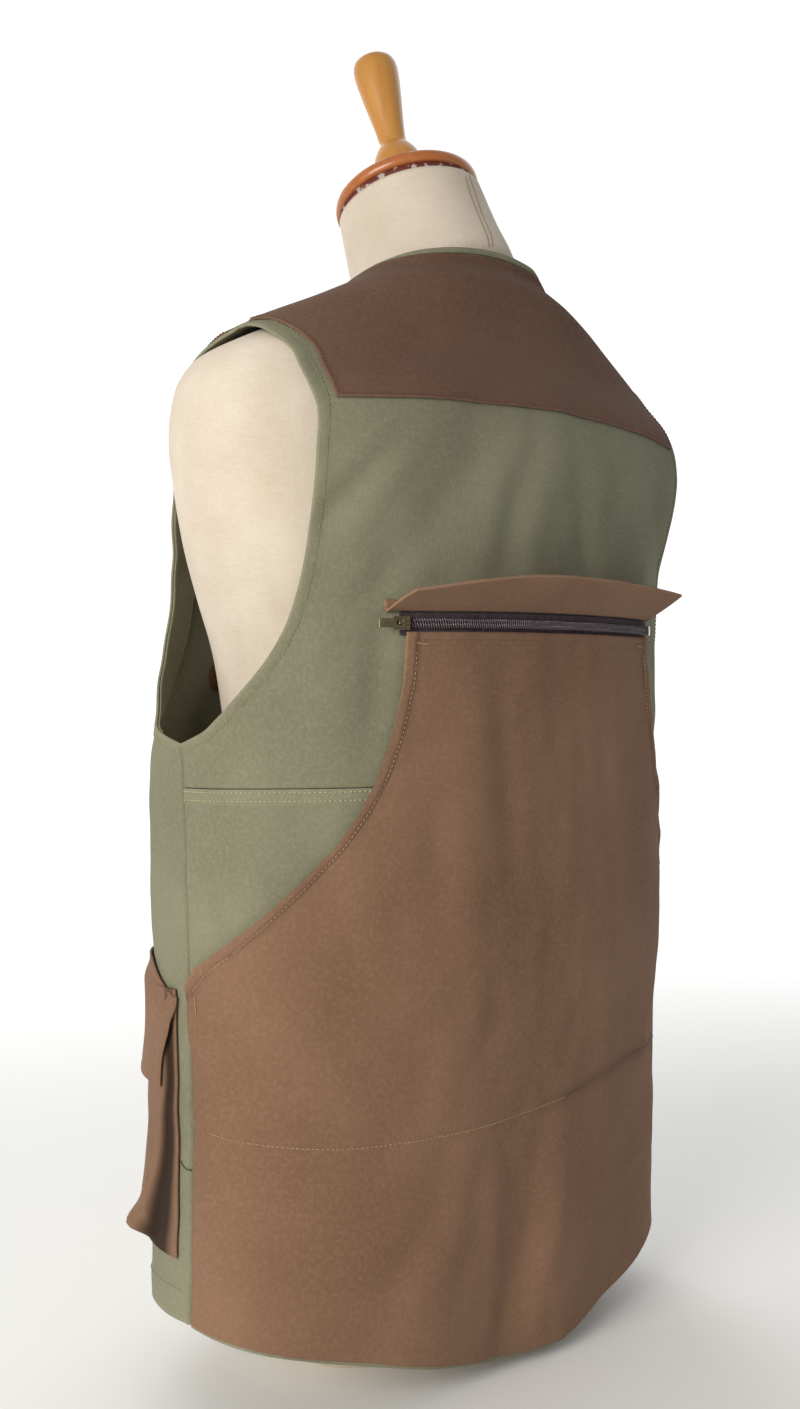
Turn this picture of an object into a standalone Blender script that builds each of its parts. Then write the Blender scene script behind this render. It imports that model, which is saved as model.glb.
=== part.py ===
"""A two-colour canvas shooting gilet on a limbless dress form, as separate solids.

The gilet's front faces -Y, its back +Y, and the wearer's left is +X. The origin is on the floor
under the middle of the form. Every cloth piece is a thin wall made from one shared surface: rings
from a short table of body sections, walked by angle (0 at the left side, 90 at the centre back)
and by level (the height of a ring at the side of the body).
"""

import math

import bmesh
import bpy
import numpy as np
from mathutils import Matrix, Vector

# Cloth thickness and the air left between pieces, in metres
CLOTH = 0.0014
SEAM = 0.0003
LAYER = CLOTH + 0.0004
FRONT_OVER = LAYER + 0.0010

# Levels of the cut, in metres above the floor
HEM_BACK = 0.006
HEM_SIDE = 0.050
WAIST_SEAM = 0.367
UNDERARM = 0.393
YOKE_BACK = 0.579
YOKE_FRONT = 0.600
SHOULDER_TIP = 0.640
NECK_SIDE = 0.680
SIDE_SEAM = 1.5
YOKE_INSET = 0.012
BINDING_LOW = 0.50
BINDING_WIDTH = 0.0046
BINDING_THICK = 0.0026
COLUMNS = 9
LOWER_ROWS = 9

# Game pocket, zip and storm flap on the back
POCKET_TOP = 0.451
POCKET_HEM = 0.0085
POCKET_STAND_OFF = 0.0024
ZIP_LOW = 0.4525
ZIP_HIGH = 0.4655
ZIP_START = 45.0
ZIP_END = 137.0
CHAIN_HALF = 0.0027
CHAIN_THICK = 0.0018
FLAP_FOLD = 0.4665
FLAP_SEWN = 0.0095
FLAP_WIDTH = 0.036
FLAP_RISE = 32.0
FLAP_START = 42.5
FLAP_END = 137.5
FLAP_TAPER = 7.0
FLAP_THICK = 0.0016

# Slider and pull tab, in the slider's own axes: along the zip, up, and out of the cloth
SLIDER_ANGLE = 45.4
SLIDER_SIZE = (0.0090, 0.0078, 0.0030)
BRIDGE_SIZE = (0.0070, 0.0016, 0.0034)
BRIDGE_WALL = 0.0008
TAB_LENGTH = 0.0150
TAB_WIDTH = 0.0052
TAB_THICK = 0.0010
TAB_WINDOW = (0.0046, 0.0026)
STOP_SIZE = (0.0026, 0.0062, 0.0024)

# Front bellows pockets and their flaps
BAG_REAR = -4.0
BAG_FRONT = -60.0
BAG_LOW = 0.086
BAG_HIGH = 0.246
BAG_FLAP_HIGH = 0.262
BAG_FLAP_LOW = 0.186
BAG_FLAP_OVER = 1.4

# Press studs
STUD_RADIUS = 0.0075
STUD_THICK = 0.0028
STUD_LEVELS = (0.075, 0.165, 0.255, 0.345, 0.435)
CHEST_STUD = (-51.9, 0.436)
CHEST_STUD_RADIUS = 0.0095

# Dress form
FORM_SIDES = 30
NECK_LEAN = 19.5
DISC_CENTRE = (0.0, 0.0019, 0.7577)
BAND_RADIUS = 0.0472
BAND_THICK = 0.0060

# Rings of the gilet: level, half width, ridge (y of the side), back and front depth from the
# ridge, squareness of the ring, and how much the ring rises from the side to the centre back
GILET_SECTIONS = (
    (0.000, 0.1935, 0.000, 0.097, 0.121, 2.3, 0.000),
    (0.080, 0.1890, 0.000, 0.101, 0.123, 2.3, 0.000),
    (0.150, 0.1860, 0.000, 0.106, 0.124, 2.3, 0.000),
    (0.300, 0.1870, 0.000, 0.120, 0.117, 2.3, 0.000),
    (0.420, 0.1900, 0.000, 0.122, 0.119, 2.3, 0.000),
    (0.500, 0.1955, 0.000, 0.126, 0.119, 2.3, 0.006),
    (0.560, 0.2150, 0.009, 0.120, 0.124, 2.3, 0.014),
    (0.590, 0.2130, 0.016, 0.110, 0.121, 2.3, 0.018),
    (0.615, 0.2010, 0.022, 0.099, 0.111, 2.3, 0.019),
    (0.640, 0.1770, 0.027, 0.085, 0.096, 2.3, 0.020),
    (0.660, 0.1270, 0.029, 0.070, 0.078, 2.4, 0.020),
    (0.672, 0.0930, 0.030, 0.060, 0.066, 2.5, 0.020),
    (0.680, 0.0710, 0.030, 0.053, 0.060, 2.6, 0.020),
)

# Armhole edge: level, then the angle of the back edge and of the front edge
ARMHOLE = (
    (0.3930, 1.5, 1.5),
    (0.3990, 7.0, -6.0),
    (0.4080, 11.0, -16.0),
    (0.4200, 15.0, -23.0),
    (0.4370, 20.0, -28.5),
    (0.4560, 24.0, -32.0),
    (0.4800, 27.0, -34.5),
    (0.5100, 29.0, -36.0),
    (0.5450, 30.0, -37.0),
    (0.5790, 28.5, -35.5),
    (0.6000, 23.5, -31.0),
    (0.6150, 18.0, -25.5),
    (0.6260, 12.8, -19.0),
    (0.6340, 7.6, -11.5),
    (0.6385, 3.4, -5.0),
    (0.6400, 0.0, 0.0),
)

# Front edge and V neckline: level and angle of the left front's free edge
FRONT_EDGE = (
    (0.4400, -98.6),
    (0.4700, -96.0),
    (0.5100, -87.5),
    (0.5500, -78.5),
    (0.5850, -70.0),
    (0.6100, -62.0),
    (0.6300, -53.0),
    (0.6480, -42.0),
    (0.6620, -30.0),
    (0.6720, -19.0),
    (0.6800, -7.0),
)

# Levels of the rows of cells, from the waist seam to the neck
UPPER_ROWS = (
    0.3670, 0.3800, 0.3930, 0.3990, 0.4080, 0.4200, 0.4370, 0.4560, 0.4800, 0.5100, 0.5450,
    0.5790, 0.6000, 0.6150, 0.6260, 0.6340, 0.6385, 0.6400, 0.6450, 0.6520, 0.6600, 0.6680,
    0.6745, 0.6800,
)

# Largest folds: angle, level, half length, half width, height outwards, lean from upright
FOLDS = (
    (60.0, 0.540, 0.070, 0.026, -0.0030, -42.0),
    (124.0, 0.535, 0.065, 0.028, -0.0026, 40.0),
    (24.0, 0.330, 0.060, 0.030, -0.0026, 8.0),
    (156.0, 0.330, 0.060, 0.030, -0.0024, -8.0),
    (78.0, 0.040, 0.090, 0.032, -0.0046, -6.0),
    (104.0, 0.060, 0.100, 0.034, 0.0036, 8.0),
    (130.0, 0.040, 0.090, 0.030, -0.0032, -4.0),
    (48.0, 0.040, 0.080, 0.030, 0.0028, 4.0),
    (-50.0, 0.340, 0.080, 0.030, 0.0026, 14.0),
    (-134.0, 0.330, 0.080, 0.032, 0.0024, -12.0),
    (-66.0, 0.040, 0.060, 0.030, 0.0028, 6.0),
    (-118.0, 0.040, 0.060, 0.030, -0.0026, -6.0),
)
FOLD_RADIUS = 0.15

# Side edge of the game pocket: level and angle of its left edge
POCKET_EDGE = (
    (0.0500, 2.6),
    (0.2510, 2.6),
    (0.2630, 6.0),
    (0.2780, 12.0),
    (0.2950, 18.5),
    (0.3150, 25.0),
    (0.3370, 31.5),
    (0.3590, 36.5),
    (0.3760, 39.5),
    (0.3980, 42.3),
    (0.4280, 45.0),
    (0.4510, 46.2),
)

# How far the front pocket stands off the front: level and distance to its inner face
BAG_DEPTH = (
    (0.086, 0.0210),
    (0.100, 0.0205),
    (0.125, 0.0145),
    (0.160, 0.0100),
    (0.200, 0.0085),
    (0.246, 0.0052),
)

# Rings of the dress form: level, half width, ridge, back, front, squareness, rise
FORM_SECTIONS = (
    (0.000, 0.134, 0.000, 0.076, 0.094, 2.2, 0.000),
    (0.012, 0.142, 0.000, 0.082, 0.100, 2.2, 0.000),
    (0.100, 0.150, 0.000, 0.090, 0.106, 2.2, 0.000),
    (0.200, 0.145, 0.000, 0.094, 0.100, 2.2, 0.000),
    (0.300, 0.134, 0.000, 0.094, 0.096, 2.2, 0.000),
    (0.410, 0.137, 0.000, 0.098, 0.099, 2.2, 0.000),
    (0.453, 0.145, 0.000, 0.103, 0.101, 2.2, 0.000),
    (0.485, 0.156, 0.000, 0.107, 0.102, 2.2, 0.003),
    (0.520, 0.1685, 0.003, 0.107, 0.103, 2.2, 0.008),
    (0.552, 0.180, 0.008, 0.104, 0.104, 2.2, 0.012),
    (0.585, 0.1865, 0.014, 0.099, 0.103, 2.2, 0.016),
    (0.602, 0.1850, 0.018, 0.094, 0.099, 2.2, 0.017),
    (0.616, 0.1790, 0.021, 0.088, 0.093, 2.2, 0.018),
    (0.628, 0.1690, 0.024, 0.083, 0.088, 2.2, 0.019),
    (0.640, 0.1530, 0.027, 0.077, 0.082, 2.2, 0.019),
    (0.6535, 0.1320, 0.028, 0.070, 0.075, 2.3, 0.019),
    (0.6657, 0.1090, 0.029, 0.062, 0.067, 2.3, 0.019),
    (0.6758, 0.0790, 0.029, 0.053, 0.058, 2.2, 0.019),
    (0.6832, 0.0600, 0.029, 0.0505, 0.052, 2.0, 0.018),
    (0.692, 0.0555, 0.0280, 0.0515, 0.051, 2.0, 0.0178),
    (0.715, 0.0510, 0.0180, 0.0505, 0.050, 2.0, 0.0175),
    (0.7475, 0.0478, 0.0055, 0.0478, 0.0478, 2.0, 0.0169),
)

# Turned knob: distance above the disc's face and radius
KNOB_PROFILE = (
    (0.1040, 0.0000),
    (0.1035, 0.0065),
    (0.1010, 0.0115),
    (0.0960, 0.0147),
    (0.0885, 0.0155),
    (0.0760, 0.0142),
    (0.0560, 0.0113),
    (0.0380, 0.0094),
    (0.0290, 0.0091),
    (0.0270, 0.0098),
    (0.0240, 0.0135),
    (0.0185, 0.0160),
    (0.0120, 0.0168),
    (0.0003, 0.0168),
    (0.0003, 0.0000),
)
DISC_PROFILE = (
    (0.0045, 0.0000),
    (0.0045, 0.0465),
    (0.0038, 0.0485),
    (0.0020, 0.0495),
    (-0.0020, 0.0495),
    (-0.0036, 0.0488),
    (-0.0042, 0.0470),
    (-0.0042, 0.0000),
)


def hermite(table, column, at):
    """A column of a table as a smooth curve of its first column."""
    keys = np.array([row[0] for row in table])
    values = np.array([row[column] for row in table])
    slopes = np.gradient(values, keys)
    at = np.clip(np.asarray(at, float), keys[0], keys[-1])
    i = np.clip(np.searchsorted(keys, at, side="right") - 1, 0, len(keys) - 2)
    step = keys[i + 1] - keys[i]
    u = (at - keys[i]) / step
    return (
        (1 + 2 * u) * (1 - u) ** 2 * values[i]
        + u * (1 - u) ** 2 * step * slopes[i]
        + u * u * (3 - 2 * u) * values[i + 1]
        + u * u * (u - 1) * step * slopes[i + 1]
    )


def linear(table, column, at):
    return np.interp(at, [row[0] for row in table], [row[column] for row in table])


def smoothstep(low, high, at):
    u = np.clip((np.asarray(at, float) - low) / (high - low), 0, 1)
    return u * u * (3 - 2 * u)


def ring_points(table, angle, level):
    """Points on the rings of a table at these angles (degrees) and levels."""
    angle, level = np.broadcast_arrays(np.asarray(angle, float), np.asarray(level, float))
    turn = np.radians(angle)
    depth = np.where(np.sin(turn) >= 0, hermite(table, 3, level), hermite(table, 4, level))
    square = hermite(table, 5, level)
    wide = np.abs(np.cos(turn)) / hermite(table, 1, level)
    deep = np.abs(np.sin(turn)) / depth
    radius = (wide**square + deep**square) ** (-1 / square)
    x = radius * np.cos(turn)
    y = hermite(table, 2, level) + radius * np.sin(turn)
    z = level + hermite(table, 6, level) * np.sin(turn)
    return np.stack([x, y, z], axis=-1)


def fold_height(angle, level):
    """How far the largest folds move the cloth outwards."""
    total = np.zeros(np.broadcast(angle, level).shape)
    for centre, height, half_length, half_width, out, lean in FOLDS:
        aside = np.radians((np.asarray(angle) - centre + 180) % 360 - 180) * FOLD_RADIUS
        above = np.asarray(level) - height
        turn = math.radians(lean)
        along = above * math.cos(turn) - aside * math.sin(turn)
        across = aside * math.cos(turn) + above * math.sin(turn)
        total += out * np.exp(-((along / half_length) ** 2) - (across / half_width) ** 2)
    return total


def gilet_surface(angle, level):
    angle, level = np.broadcast_arrays(np.asarray(angle, float), np.asarray(level, float))
    points = ring_points(GILET_SECTIONS, angle, level)
    out = fold_height(angle, level)
    points[..., 0] += out * np.cos(np.radians(angle))
    points[..., 1] += out * np.sin(np.radians(angle))
    return points


def gilet_normal(angle, level):
    """Unit normals of the gilet's surface, pointing out."""
    level = np.asarray(level, float)
    across = gilet_surface(angle + 0.2, level) - gilet_surface(angle - 0.2, level)
    above = np.minimum(level + 0.0005, NECK_SIDE)
    below = np.maximum(level - 0.0005, 0.0)
    up = gilet_surface(angle, above) - gilet_surface(angle, below)
    normal = np.cross(across, up)
    return normal / np.linalg.norm(normal, axis=-1, keepdims=True)


def on_gilet(angle, level, lift=0.0):
    """Points of the gilet's surface, moved out by lift."""
    angle, level = np.broadcast_arrays(np.asarray(angle, float), np.asarray(level, float))
    lift = np.broadcast_to(np.asarray(lift, float), angle.shape)
    return gilet_surface(angle, level) + gilet_normal(angle, level) * lift[..., None]


def seam_angle(level):
    """The angle that half a seam's gap takes at a level."""
    return math.degrees(SEAM / 2 / float(hermite(GILET_SECTIONS, 1, level)))


def clear_scene():
    for item in list(bpy.data.objects):
        bpy.data.objects.remove(item, do_unlink=True)


def new_collection(name):
    made = bpy.data.collections.new(name)
    bpy.context.scene.collection.children.link(made)
    return made


def material(name, colour, roughness, metallic=0.0):
    made = bpy.data.materials.new(name)
    made.use_nodes = True
    shader = made.node_tree.nodes["Principled BSDF"]
    shader.inputs["Base Color"].default_value = (*colour, 1.0)
    shader.inputs["Roughness"].default_value = roughness
    shader.inputs["Metallic"].default_value = metallic
    return made


def object_from(bm, name, look, smooth=40):
    """An object in the part's collection from a bmesh, shaded smooth below an angle."""
    mesh = bpy.data.meshes.new(name)
    bm.to_mesh(mesh)
    bm.free()
    mesh.shade_smooth()
    mesh.set_sharp_from_angle(angle=math.radians(smooth))
    made = bpy.data.objects.new(name, mesh)
    made.data.materials.append(look)
    PART.objects.link(made)
    return made


def add_grid(bm, points, skip=()):
    """Quads over a grid of points, columns left to right and rows upwards as seen from outside."""
    rows, columns = points.shape[:2]
    verts = [[bm.verts.new(points[r, c]) for c in range(columns)] for r in range(rows)]
    for r in range(rows - 1):
        for c in range(columns - 1):
            if (r, c) not in skip:
                bm.faces.new(
                    (verts[r][c], verts[r][c + 1], verts[r + 1][c + 1], verts[r + 1][c])
                )
    return verts


def thicken(made, thickness):
    """Gives an open cloth surface its thickness on the outside."""
    wall = made.modifiers.new("Thickness", "SOLIDIFY")
    wall.thickness = thickness
    wall.offset = 1.0
    wall.use_quality_normals = True
    return made


def cloth(name, points, look, thickness=CLOTH):
    bm = bmesh.new()
    add_grid(bm, points)
    return thicken(object_from(bm, name, look), thickness)


def back_columns(level, count=COLUMNS):
    """Angles of one back row from the left edge to the right: an inset column, then even ones."""
    if level <= UNDERARM:
        edge = SIDE_SEAM + seam_angle(level)
    elif level < SHOULDER_TIP:
        edge = float(linear(ARMHOLE, 1, level))
    else:
        edge = seam_angle(level)
    half = float(hermite(GILET_SECTIONS, 1, level))
    inner = edge + math.degrees(YOKE_INSET / half)
    left = np.concatenate([[edge], np.linspace(inner, 90, count)])
    return np.concatenate([left, 180 - left[-2::-1]])


def front_columns(level, count=COLUMNS):
    """Angles of one front row from its free edge to the side, for the left front."""
    if level <= UNDERARM:
        outer = SIDE_SEAM - seam_angle(level)
    elif level < SHOULDER_TIP:
        outer = float(linear(ARMHOLE, 2, level))
    else:
        outer = -seam_angle(level)
    half = float(hermite(GILET_SECTIONS, 1, level))
    inset = math.degrees(YOKE_INSET / half)
    free = float(linear(FRONT_EDGE, 1, level))
    inner = max(outer - inset, free + 0.4 * (outer - free))
    return np.concatenate([np.linspace(free, inner, count), [outer]])


def hem_level(angle):
    """The hem dips from the side seams to the centre back, and less to the front."""
    turn = np.radians(np.asarray(angle, float))
    back = HEM_SIDE + (HEM_BACK - HEM_SIDE) * np.abs(np.sin(turn)) ** 1.3
    front = HEM_SIDE - 0.012 * np.abs(np.sin(turn)) ** 1.3
    return np.where(np.sin(turn) >= 0, back, front)


def mirrored(angle):
    return 180 - angle


def back_grid(rows):
    angles = np.array([back_columns(level) for level in rows])
    return angles, np.array(rows)[:, None] + 0 * angles


def lower_back_grid():
    """Angles and levels of the back below the waist seam, whose rows fan up from the hem."""
    columns = back_columns(WAIST_SEAM)
    share = np.linspace(0, 1, LOWER_ROWS)[:, None]
    levels = hem_level(columns)[None, :] * (1 - share) + (WAIST_SEAM - SEAM / 2) * share
    return columns[None, :] + 0 * levels, levels


def build_back():
    angles, levels = back_grid(UPPER_ROWS)
    levels[0] += SEAM / 2
    cloth("back_upper", on_gilet(angles, levels), OLIVE)

    angles, levels = lower_back_grid()
    cloth("back_lower", on_gilet(angles, levels), OLIVE)


def front_lift(angle):
    """The left front rides over the right one near the front edge."""
    return FRONT_OVER * smoothstep(-66.0, -77.0, angle)


def front_grids():
    """Angles and levels of the left front, from hem to neck."""
    share = np.linspace(0, 1, 9)[:-1, None]
    lower = front_columns(WAIST_SEAM)
    low_levels = hem_level(lower)[None, :] * (1 - share) + WAIST_SEAM * share
    low_angles = lower[None, :] + 0 * low_levels
    upper = np.array([front_columns(level) for level in UPPER_ROWS])
    up_levels = np.array(UPPER_ROWS)[:, None] + 0 * upper
    return np.vstack([low_angles, upper]), np.vstack([low_levels, up_levels])


def build_fronts():
    angles, levels = front_grids()
    cloth("front_left", on_gilet(angles, levels, front_lift(angles)), OLIVE)
    other = mirrored(angles)[:, ::-1]
    cloth("front_right", on_gilet(other, levels[:, ::-1]), OLIVE)


def build_yoke():
    """One piece over back and shoulders, set in from the armholes, from the panels' own points."""
    start = UPPER_ROWS.index(YOKE_BACK)
    rows = UPPER_ROWS[start:]
    tip = rows.index(SHOULDER_TIP)
    angles, levels = back_grid(rows)
    angles[tip:, 0] = 0.0
    angles[tip:, -1] = 180.0
    last = angles.shape[1] - 2
    side = [(r, c) for r in range(tip + 1) for c in (0, last)]
    bm = bmesh.new()
    back = add_grid(bm, on_gilet(angles, levels, LAYER), side)

    front_rows = rows[rows.index(YOKE_FRONT):]
    front_tip = front_rows.index(SHOULDER_TIP)
    angles = np.array([front_columns(level) for level in front_rows])
    angles[front_tip:, -1] = 0.0
    levels = np.array(front_rows)[:, None] + 0 * angles
    end = angles.shape[1] - 2
    left = add_grid(
        bm, on_gilet(angles, levels, LAYER), [(r, end) for r in range(front_tip + 1)]
    )
    angles = mirrored(angles)[:, ::-1]
    right = add_grid(
        bm,
        on_gilet(angles, levels[:, ::-1], LAYER),
        [(r, 0) for r in range(front_tip + 1)],
    )
    # The corner cell at each shoulder, where the edge turns over the ridge
    bm.faces.new((back[tip][1], back[tip + 1][1], back[tip + 1][0]))
    bm.faces.new((back[tip][-2], back[tip + 1][-1], back[tip + 1][-2]))
    bm.faces.new((left[front_tip][-2], left[front_tip + 1][-1], left[front_tip + 1][-2]))
    bm.faces.new((right[front_tip][1], right[front_tip + 1][1], right[front_tip + 1][0]))
    bmesh.ops.remove_doubles(bm, verts=bm.verts[:], dist=1e-5)
    loose = [vert for vert in bm.verts if not vert.link_faces]
    bmesh.ops.delete(bm, geom=loose, context="VERTS")
    thicken(object_from(bm, "yoke", BROWN_DARK), CLOTH)


def strip_beyond(angles, levels, lift, start, end):
    """Rows of points that run on past an edge in the cloth's plane, from start to end metres."""
    points = on_gilet(angles, levels, lift)
    normal = gilet_normal(angles, levels)
    along = np.gradient(points, axis=0)
    along /= np.linalg.norm(along, axis=1, keepdims=True)
    beyond = np.cross(normal, along)
    return points + beyond * start, points + beyond * end


def build_neck_binding():
    """A narrow bound edge round the neckline, from one front to the other over the back."""
    rows = [level for level in UPPER_ROWS if BINDING_LOW < level]
    left_front = [(float(linear(FRONT_EDGE, 1, level)), level) for level in rows]
    across = [(angle, NECK_SIDE) for angle in np.linspace(0, 180, 19)]
    right_front = [(mirrored(angle), level) for angle, level in reversed(left_front)]
    path = np.array(left_front + across + right_front)
    lift = 0.0006 * smoothstep(YOKE_BACK, YOKE_FRONT, path[:, 1])
    edges = strip_beyond(path[:, 0], path[:, 1], lift, SEAM + 0.0002, BINDING_WIDTH)
    cloth("neck_binding", np.stack(edges, axis=0), OLIVE, BINDING_THICK)


def pocket_angles(level):
    """The back's own columns, crowded together where the pocket's edge cuts them off."""
    edge = float(linear(POCKET_EDGE, 1, level))
    left = back_columns(WAIST_SEAM)[: COLUMNS + 1]
    left = np.maximum(left, edge + 0.7 * np.arange(COLUMNS + 1))
    return np.concatenate([left, 180 - left[-2::-1]])


def pocket_lift(angles, levels):
    """The pocket is sewn down at side seams and hem, and stands off a little elsewhere."""
    edge = np.linspace(-1, 1, angles.shape[1])[None, :]
    from_hem = smoothstep(0.0, 0.10, levels - hem_level(angles))
    from_side = smoothstep(0.0, 0.25, 1 - np.abs(edge) + 0.6 * smoothstep(0.20, 0.25, levels))
    at_zip = 1 - smoothstep(0.425, POCKET_TOP, levels)
    turned_edge = 0.0010 * smoothstep(0.20, 0.245, levels)
    stand_off = POCKET_STAND_OFF * from_hem * from_side * (0.25 + 0.75 * at_zip)
    return LAYER + 0.0002 + turned_edge + stand_off


def build_game_pocket():
    low_angles, low_levels = (grid[:6].copy() for grid in lower_back_grid())
    low_angles[:, 0] += POCKET_EDGE[0][1] - SIDE_SEAM
    low_angles[:, -1] -= POCKET_EDGE[0][1] - SIDE_SEAM
    low_levels[0] += POCKET_HEM - HEM_BACK
    high_rows = (0.263, 0.278, 0.295, 0.315, 0.337, 0.359, 0.376, 0.398, 0.428, POCKET_TOP)
    high_angles = np.array([pocket_angles(level) for level in high_rows])
    high_levels = np.array(high_rows)[:, None] + 0 * high_angles
    angles = np.vstack([low_angles, high_angles])
    levels = np.vstack([low_levels, high_levels])
    cloth("game_pocket", on_gilet(angles, levels, pocket_lift(angles, levels)), BROWN)


def build_zip():
    angles = np.linspace(ZIP_START - 1.6, ZIP_END + 1.0, 25)[None, :]
    levels = np.array([[ZIP_LOW], [ZIP_HIGH]])
    angles, levels = np.broadcast_arrays(angles, levels)
    cloth("zip_tape", on_gilet(angles, levels, LAYER), ZIP_CLOTH, 0.0009)
    middle = (ZIP_LOW + ZIP_HIGH) / 2
    angles = np.linspace(SLIDER_ANGLE + 2.3, ZIP_END - 1.4, 25)[None, :]
    levels = np.array([[middle - CHAIN_HALF], [middle + CHAIN_HALF]])
    angles, levels = np.broadcast_arrays(angles, levels)
    cloth("zip_chain", on_gilet(angles, levels, LAYER + 0.0013), ZIP_CLOTH, CHAIN_THICK)
    return middle


def seat_matrix(angle, level, lift):
    """Axes on the cloth: x along the zip to the wearer's right, y up, z out of the cloth."""
    origin = Vector(on_gilet(angle, level, lift))
    out = Vector(gilet_normal(angle, level))
    up = Vector((0, 0, 1))
    side = up.cross(out).normalized()
    up = out.cross(side)
    return Matrix.Translation(origin) @ Matrix((side, up, out)).transposed().to_4x4()


def box(bm, size, centre):
    made = bmesh.ops.create_cube(bm, size=1.0)
    bmesh.ops.scale(bm, vec=size, verts=made["verts"])
    bmesh.ops.translate(bm, vec=centre, verts=made["verts"])
    return made["verts"]


def united(name, sizes, look, matrix, bevel):
    """One solid from overlapping boxes, joined with exact booleans, with softened edges."""
    bm = bmesh.new()
    box(bm, *sizes[0])
    made = object_from(bm, name, look)
    made.matrix_world = matrix
    for index, entry in enumerate(sizes[1:]):
        bm = bmesh.new()
        box(bm, *entry)
        mesh = bpy.data.meshes.new(f"{name}_tool_{index}")
        bm.to_mesh(mesh)
        bm.free()
        helper = bpy.data.objects.new(mesh.name, mesh)
        helper.matrix_world = matrix
        helper.hide_render = True
        helper.display_type = "WIRE"
        HELPERS.objects.link(helper)
        join = made.modifiers.new(f"Join {index}", "BOOLEAN")
        join.operation = "UNION"
        join.object = helper
    edge = made.modifiers.new("Edges", "BEVEL")
    edge.width = bevel
    edge.segments = 1
    edge.limit_method = "ANGLE"
    return made


def build_slider(middle):
    """The slider with its bridge, and the pull tab whose bar turns under that bridge."""
    matrix = seat_matrix(SLIDER_ANGLE, middle, LAYER + 0.0013)
    length, height, thick = SLIDER_SIZE
    span, width, rise = BRIDGE_SIZE
    wall = BRIDGE_WALL
    foot = rise + 0.0004
    united(
        "zip_slider",
        (
            (SLIDER_SIZE, (0, 0, thick / 2)),
            ((wall, width, foot), (-span / 2 + wall / 2, 0, thick + rise / 2 - 0.0002)),
            ((wall, width, foot), (span / 2 - wall / 2, 0, thick + rise / 2 - 0.0002)),
            ((span, width, wall), (0, 0, thick + rise - wall / 2)),
        ),
        BRASS,
        matrix,
        0.0002,
    )
    about_turn = Matrix.Rotation(math.pi, 4, "Z")
    axis = matrix @ Matrix.Translation((0, 0, thick + 0.0013)) @ about_turn
    reach, clear = TAB_WINDOW
    bar = 0.0011
    arm = (TAB_WIDTH - clear) / 2
    plate = TAB_LENGTH - reach
    united(
        "zip_pull_tab",
        (
            ((plate, TAB_WIDTH, TAB_THICK), (reach + plate / 2, 0, 0)),
            ((reach + bar, arm, TAB_THICK), (reach / 2, (clear + arm) / 2, 0)),
            ((reach + bar, arm, TAB_THICK), (reach / 2, -(clear + arm) / 2, 0)),
            ((bar, TAB_WIDTH, TAB_THICK), (0, 0, 0)),
        ),
        BRASS,
        axis,
        0.00015,
    )
    stop = ((STOP_SIZE, (0, 0, STOP_SIZE[2] / 2)),)
    seat = seat_matrix(ZIP_END - 0.5, middle, LAYER + 0.0012)
    united("zip_end_stop", stop, STEEL, seat, 0.0005)


def build_storm_flap():
    """A doubled strip sewn flat above the zip, folded at its lower edge and standing out."""
    count = 23
    share = np.linspace(0, 1, count)
    sewn = FLAP_START + (FLAP_END - FLAP_START) * share
    free = FLAP_START + FLAP_TAPER + (FLAP_END - FLAP_START - 2 * FLAP_TAPER) * share
    rise = math.radians(FLAP_RISE)
    rows = [
        on_gilet(sewn, FLAP_FOLD + FLAP_SEWN, LAYER),
        on_gilet(sewn, FLAP_FOLD + 0.0022, LAYER),
        on_gilet(sewn, FLAP_FOLD + 0.0006, LAYER + 0.0004),
        on_gilet(sewn, FLAP_FOLD + 0.0004, LAYER + 0.0018),
    ]
    for step in (0.12, 0.4, 0.7, 1.0):
        angle = sewn + (free - sewn) * step
        root = on_gilet(angle, FLAP_FOLD + 0.0004, LAYER + 0.0018)
        out = gilet_normal(angle, FLAP_FOLD + 0 * angle)
        out[:, 2] = 0
        out /= np.linalg.norm(out, axis=1, keepdims=True)
        reach = FLAP_WIDTH * step
        bow = 0.0035 * np.sin(math.pi * share) * step
        root += out * (reach * math.cos(rise))
        root[:, 2] += reach * math.sin(rise) + bow - 0.003 * step**2
        rows.append(root)
    grid = np.array(rows)[::-1, ::-1]
    bm = bmesh.new()
    add_grid(bm, grid)
    bmesh.ops.reverse_faces(bm, faces=bm.faces[:])
    thicken(object_from(bm, "storm_flap", BROWN), FLAP_THICK)


def bag_columns():
    """Angles of a front pocket's columns and their share of its half width."""
    middle = (BAG_FRONT + BAG_REAR) / 2
    half = (BAG_REAR - BAG_FRONT) / 2
    share = np.array([-1, -0.965, -0.9, -0.75, -0.5, -0.25, 0, 0.25, 0.5, 0.75, 0.9, 0.965, 1])
    return middle + half * share, share


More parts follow.
